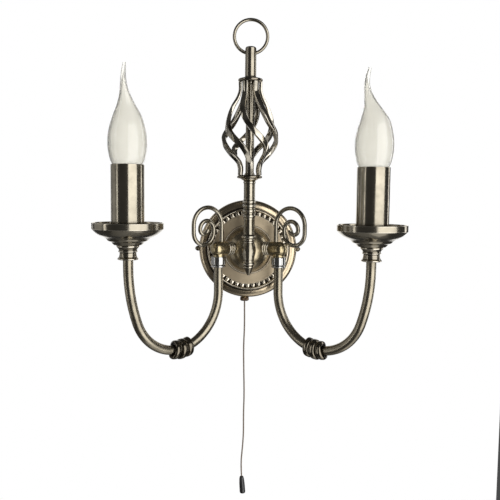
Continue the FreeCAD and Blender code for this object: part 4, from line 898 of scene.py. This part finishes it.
def elbow():
    """Ribbed barrel that leaves the hub, domed at its end, on a short boss."""
    ribs = []
    for rib in range(ELBOW_RIBS):
        root = RIB_START + RIB_PITCH*rib
        ribs += [(6.0, root + 0.1, 0.3), (6.95, root + 0.75, 0.5), (7.0, root + 1.85, 0.5),
                 (6.0, root + 2.5, 0.3)]
    barrel = lathe([
        (0, -19.6), (6.0, -19.6), *ribs, (6.1, -9.2, 0.2), (7.0, -9.0, 0.4), (7.3, -8.2, 0.6),
        (7.3, 1.6, 2.0), (7.1, 3.4, 2.0), (6.3, 5.4, 2.0), (4.8, 7.0, 2.0), (2.7, 8.0, 2.0), (0, 8.2)])
    boss = lathe([(ARM_RADIUS, -5.3), (5.6, -5.3, 0.2), (5.6, 0.5, 0.2), (ARM_RADIUS, 0.5)])
    return together(moved(barrel, ALONG_ARM), boss)


def collar():
    """Bright collar under the elbow."""
    return lathe([
        (ARM_BORE, -12.9), (7.0, -12.9, 0.3), (7.2, -12.4, 0.4), (7.2, -6.0, 0.4), (7.0, -5.3, 0.2),
        (ARM_BORE, -5.3)])


def collar_ring():
    """Rolled ring that ends the collar."""
    return lathe([
        (ARM_BORE, -15.9), (5.6, -15.9, 0.3), (6.9, -15.5, 0.5), (7.3, -14.7, 0.5), (6.9, -13.9, 0.4),
        (6.0, -13.6, 0.2), (5.9, -12.9), (ARM_BORE, -12.9)])


def strand_section():
    """Points across the knot's flat strand: outwards, along the arm, and level, which paints shade with
    patina on the sides and inside, with two ridges outside.
    """
    ring = []
    for step in range(STRAND_SIDES):
        angle = 2*pi*step/STRAND_SIDES
        outer = sin(angle) > 0
        ridge = STRAND_RIDGE*sin(2*angle)**2 if outer else 0.0
        depth = (STRAND_OUT if outer else STRAND_IN)*sin(angle) + ridge
        ring.append((depth, STRAND_HALF*cos(angle), PLAIN if sin(angle) > 0.35 else STRAND_DARK))
    return ring


def knot():
    """Flat double strand wound round the arm's second bend, narrowing at both ends."""
    radius, turn = FIRST_BEND
    bend = second_bend()
    centre = Vector((radius - (radius - bend)*cos(radians(turn)), 0,
                     -ARM_DROP - (radius - bend)*sin(radians(turn))))

    def strand_at(turns, away):
        along = radians(turn + KNOT_PLACE + degrees((turns - KNOT_TURNS/2)*KNOT_PITCH/bend))
        out = Vector((-cos(along), 0, -sin(along)))
        spoke = out*cos(2*pi*turns + KNOT_START) + Y*sin(2*pi*turns + KNOT_START)
        return centre + out*bend + spoke*away, spoke

    section = strand_section()
    steps = KNOT_STEPS*KNOT_TURNS
    rings, wear_and_painted_light = [], []
    for step in range(steps + 1):
        turns = KNOT_TURNS*step/steps
        end = min(turns, KNOT_TURNS - turns)
        size = min(1.0, KNOT_END_SIZE + (1 - KNOT_END_SIZE)*sqrt(min(end/KNOT_END, 1.0)))
        away = KNOT_AWAY - KNOT_TUCK*(1 - size) + KNOT_BULGE*sin(pi*step/steps)**2
        middle, spoke = strand_at(turns, away)
        along = (strand_at(turns + KNOT_NEAR, away)[0] - strand_at(turns - KNOT_NEAR, away)[0]).normalized()
        side = spoke.cross(along).normalized()
        rings.append([middle + spoke*out*size + side*across*size for out, across, _ in section])
        wear_and_painted_light += [worn_and_lit for _, _, worn_and_lit in section]
    return skinned(rings, wear_and_painted_light=wear_and_painted_light)


def scroll():
    """Rod that rises behind the elbow and winds in to a domed tip."""
    outer, middle, inner, tip = SCROLL_BENDS
    path = bent(SCROLL_START, 90, SCROLL_RISE, (outer, -180), SCROLL_FALL, (middle, -180), SCROLL_LIFT,
                (inner, -180), (tip, -180))
    return tube(path, SCROLL_RADIUS, SCROLL_SIDES, SCROLL_RADIUS)


def cup():
    """Small turned cup under the drip pan."""
    return lathe([
        (ARM_BORE, -2.6), (8.5, -2.6, 0.2), (9.2, -2.2, 0.4), (9.3, -1.6, 0.4), (8.8, -1.0, 0.4),
        (8.0, -0.2, 1.0), (7.4, 1.6, 1.0), (7.35, 3.7, 0.3), (7.9, 4.2, 0.3), (8.5, 4.5, 0.4),
        (8.55, 5.1, 0.4), (7.9, 5.7, 0.3), (8.2, 6.8, 1.0), (9.6, 8.4, 0.8), (10.1, 9.0, 0.4),
        (10.0, 9.9, 0.4), (9.6, 10.5, 0.2), (NIPPLE_BORE, 10.5), (NIPPLE_BORE, 3.0), (ARM_BORE, 3.0)])


def drip_pan():
    """Stepped bowl with an upright band, hollow above."""
    return lathe([
        (NIPPLE_BORE, 10.5), (12.3, 10.5, 0.3), (12.9, 11.1, 0.4), (14.6, 13.0, 0.6), (15.2, 13.4, 0.3),
        (17.0, 13.9, 0.4), (17.8, 14.6, 0.5), (18.9, 16.1, 0.5), (20.2, 16.7, 0.3), (20.7, 17.2, 0.4),
        (23.6, 18.4, 2.0), (26.6, 20.1, 2.0), (29.0, 22.2, 1.6), (30.4, 23.7, 0.8), (30.75, 24.1, 0.2),
        (31.15, 24.4, 0.3), (31.15, 29.5, 0.3), (30.9, 30.0, 0.2), (30.35, 30.0, 0.2), (30.1, 29.4, 0.2),
        (29.9, 25.4, 0.8), (27.6, 22.9, 2.0), (22.4, 19.2, 1.5), (19.1, 17.2, 0.5), (16.5, 14.5, 0.4),
        (13.75, 14.3), (11.5, 11.5), (NIPPLE_BORE, 11.5)], LARGE_AROUND)


def candle_tube():
    """Plain tube that stands in the pan round the lampholder."""
    return lathe([
        (13.75, 14.3), (14.55, 14.3, 0.1), (14.55, 80.1, 0.3), (14.3, 80.4, 0.2), (13.95, 80.4, 0.2),
        (13.75, 80.1, 0.2)])


def bulb(side):
    """Flame-shaped bulb, hollow up to its bent tip, which leans its own way on each side."""
    lean = radians(BULB_LEAN[side])
    radii = [(height, radius) for height, radius, _ in BULB_SHAPE]
    leans = [(height, shift) for height, _, shift in BULB_SHAPE]
    low, high = BULB_SHAPE[0][0], BULB_SHAPE[-1][0]

    def ring_at(height, less):
        radius = max(smooth_between(radii, height) - less, 0.05)
        shift = smooth_between(leans, height)
        turns = [2*pi*step/BULB_AROUND for step in range(BULB_AROUND)]
        return [Vector((shift*cos(lean) + radius*cos(turn), shift*sin(lean) + radius*sin(turn), height))
                for turn in turns]

    rings = []
    for step in range(BULB_INNER_STEPS + 1):
        height = BULB_HOLLOW - (BULB_HOLLOW - low)*step/BULB_INNER_STEPS
        closing = max(0, 1 - (BULB_HOLLOW - height)/BULB_CLOSING)
        rings.append(ring_at(height, BULB_WALL + BULB_TIP_WALL*closing**1.5))
    for step in range(BULB_OUTER_STEPS + 1):
        rings.append(ring_at(low + (high - low)*step/BULB_OUTER_STEPS, 0))
    rings += [ring_at(high, 0.5), ring_at(high, 1.0)]
    return moved(skinned(rings), candle_axis(side))


def bulb_cap(side):
    """Screw cap: rolled thread, tapered foot and a rim round the glass."""
    rings = []
    for place in range(THREAD_RINGS):
        height = THREAD_BOTTOM + THREAD_STEP*place
        fade = min(1.0, (height - THREAD_BOTTOM)/THREAD_FADE, (THREAD_TOP - height)/THREAD_FADE)
        ring = []
        for step in range(CAP_AROUND):
            angle = 2*pi*step/CAP_AROUND
            wave = 0.5 + 0.5*cos(2*pi*(height/CAP_PITCH) - angle)
            radius = CAP_RADIUS - THREAD_INSET - THREAD_DEPTH*(1 - wave)*max(fade, 0)
            ring.append(Vector((radius*cos(angle), radius*sin(angle), height)))
        rings.append(ring)
    foot = lathe([
        (0, CAP_FOOT), (3.4, CAP_FOOT, 0.3), (4.2, 46.3, 0.5), (6.4, 47.9, 0.6), (6.8, 48.7, 0.2), (0, 48.7)],
        CAP_AROUND)
    rim = lathe([
        (0, 69.8), (6.85, 69.8, 0.1), (CAP_RADIUS, 70.7, 0.2), (6.6, 71.0, 0.1), (6.35, 71.0), (6.35, 70.2),
        (0, 70.2)], CAP_AROUND)
    return moved(together(skinned(rings), foot, rim), candle_axis(side))


def arms():
    """Both arms with their candles and bulbs, the left arm mirrored."""
    shapes = {
        "elbow": (elbow(), elbow_brass, "antique_brass"),
        "collar": (collar(), nickel, "nickel"),
        "collar_ring": (collar_ring(), nickel, "nickel"),
        "arm": (tube(arm_path(), ARM_RADIUS, ARM_SIDES), arm_brass, "dark_brass"),
        "knot": (knot(), shaded_knot_brass, "dark_brass"),
        "scroll": (scroll(), brass, "antique_brass")}
    candle = {"cup": cup(), "drip_pan": drip_pan(), "candle_tube": candle_tube()}
    for side in SIDES:
        for name, (shape, material, slot) in shapes.items():
            nodes = [] if name == "collar_ring" else [f"{name}_{side}"]
            made(f"{name}_{side}_shape", moved(shape, on_side(side)), material, nodes)
        for name, shape in candle.items():
            placed = moved(shape, candle_axis(side))
            made(f"{name}_{side}_turned", placed, brass, [f"{name}_{side}"])
        body = f"bulb_{side}"
        made(f"bulb_{side}_shell", bulb(side), glass, [f"bulb_glass_{side}"], body)
        made(f"bulb_{side}_thread", bulb_cap(side), cap_metal, [f"bulb_cap_{side}"], body)


# Inside


def switch_spring():
    """Coiled return spring inside the switch, which is pressed flat as the cord is pulled."""
    low, high = [Vector(corner)/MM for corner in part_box("switch_spring")]
    middle = (low + high)/2
    radius = (high.x - low.x)/2 - SPRING_WIRE
    bottom, top = low.z + SPRING_WIRE, high.z - SPRING_WIRE
    round_wire = [2*pi*side/SPRING_SIDES for side in range(SPRING_SIDES)]
    steps = SPRING_STEPS*SPRING_TURNS
    rings = []
    for step in range(steps + 1):
        angle = 2*pi*step/SPRING_STEPS
        out = Vector((cos(angle), sin(angle), 0))
        spot = Vector((middle.x, middle.y, bottom + (top - bottom)*step/steps)) + out*radius
        rings.append([spot + (out*cos(turn) + Z*sin(turn))*SPRING_WIRE for turn in round_wire])
    coil = made("spring_coil", skinned(rings), zinc, ["switch_spring"])
    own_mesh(coil)


def finish_nodes():
    """Better materials on the CAD nodes that still show."""
    finishes = {
        zinc: ("wall_bracket", "clamp_plate", "hub_stud", "hub_nut", "tie_rod", "bulb_pip"),
        thread_brass: ("earth_screw", "elbow_nuts", "switch_bush", "nipple", "socket_contacts"),
        cream: ("terminal_block", "switch_case", "switch_cover", "switch_cam", "switch_slider", "lampholder")}
    for name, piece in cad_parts.items():
        base = name.removesuffix("_right").removesuffix("_left")
        for material, bases in finishes.items():
            if base in bases:
                for place in piece.material_slots:
                    place.material = material


# Stage and light


def sheet_of(name, width, depth, place, upright, material):
    """Flat stage piece."""
    mesh = bpy.data.meshes.new(name)
    half, reach = width/2, depth/2
    corners = [(-half, -reach), (half, -reach), (half, reach), (-half, reach)]
    mesh.from_pydata([(x, 0, z) if upright else (x, z, 0) for x, z in corners], [], [(0, 1, 2, 3)])
    piece = bpy.data.objects.new(name, mesh)
    piece.location = place
    bpy.context.scene.collection.objects.link(piece)
    mesh.materials.append(material)


def paper(white):
    """Pale paper; the white kind shows white to the camera, to reflections and through glass."""
    material, tree, shader = blank("white_paper" if white else "pale_paper")
    fibre = spots(tree, 12, detail=6.0)
    tone = mixed(tree, fibre, rgb(0.78, 0.78, 0.77), rgb(0.82, 0.82, 0.81))
    tree.links.new(tone, shader.inputs["Base Color"])
    shader.inputs["Roughness"].default_value = 0.9
    if not white:
        return material
    path = node(tree, "LightPath").outputs
    seen = computed(tree, "MAXIMUM", path["Is Camera Ray"], path["Is Glossy Ray"])
    seen = computed(tree, "MAXIMUM", seen, path["Is Transmission Ray"])
    glow = node(tree, "Emission", {"Color": rgb(1, 1, 1), "Strength": 1.0}).outputs[0]
    mix = node(tree, "MixShader", {0: seen, 1: shader.outputs[0], 2: glow})
    tree.links.new(mix.outputs[0], tree.nodes["Material Output"].inputs["Surface"])
    return material


def lamp(name, azimuth, elevation, away, width, height, radiance):
    """Soft box that faces the object, in metres; its azimuth runs from the camera's side towards +X."""
    data = bpy.data.lights.new(name, "AREA")
    data.shape = "RECTANGLE"
    data.size, data.size_y = width, height
    data.energy = radiance*pi*width*height
    turn, lift = radians(azimuth), radians(elevation)
    way = Vector((sin(turn)*cos(lift), -cos(turn)*cos(lift), sin(lift)))
    light = bpy.data.objects.new(name, data)
    light.location = way*away
    light.rotation_mode = "QUATERNION"
    light.rotation_quaternion = way.to_track_quat("Z", "Y")
    light.visible_camera = False
    bpy.context.scene.collection.objects.link(light)


def stage():
    """Backdrop, floor and soft boxes in a dim surround."""
    world = bpy.data.worlds.new("studio")
    world.use_nodes = True
    world.node_tree.nodes["Background"].inputs["Color"].default_value = rgb(0.07, 0.07, 0.07)
    bpy.context.scene.world = world
    sheet_of("backdrop", 3.45, 3.45, (0.09, 3.5, -0.29), True, paper(True))
    sheet_of("floor", 2.6, 2.6, (0, 0.4, -2.3), False, paper(False))
    # Each soft box's azimuth, elevation, distance, width, height and radiance
    lamp("key", 38, -1, 1.3, 1.5, 2.2, 2.6)
    lamp("low", 46, -62, 1.3, 0.9, 1.0, 0.8)
    lamp("fill", -94, 0, 1.3, 0.9, 1.8, 0.42)
    lamp("strip", -64, 5, 1.2, 0.14, 1.7, 2.2)
    lamp("back_right", 113, 5, 1.4, 0.24, 1.6, 2.8)
    lamp("back_left", -130, 5, 1.4, 0.16, 1.6, 1.2)
    lamp("behind", 180, 3, 1.4, 1.5, 1.6, 0.4)
    bpy.context.scene.view_settings.view_transform = "Standard"


camera()
pull_cord(cord_weight())
wall_plate()
column()
cage()
arms()
switch_spring()
finish_nodes()
stage()
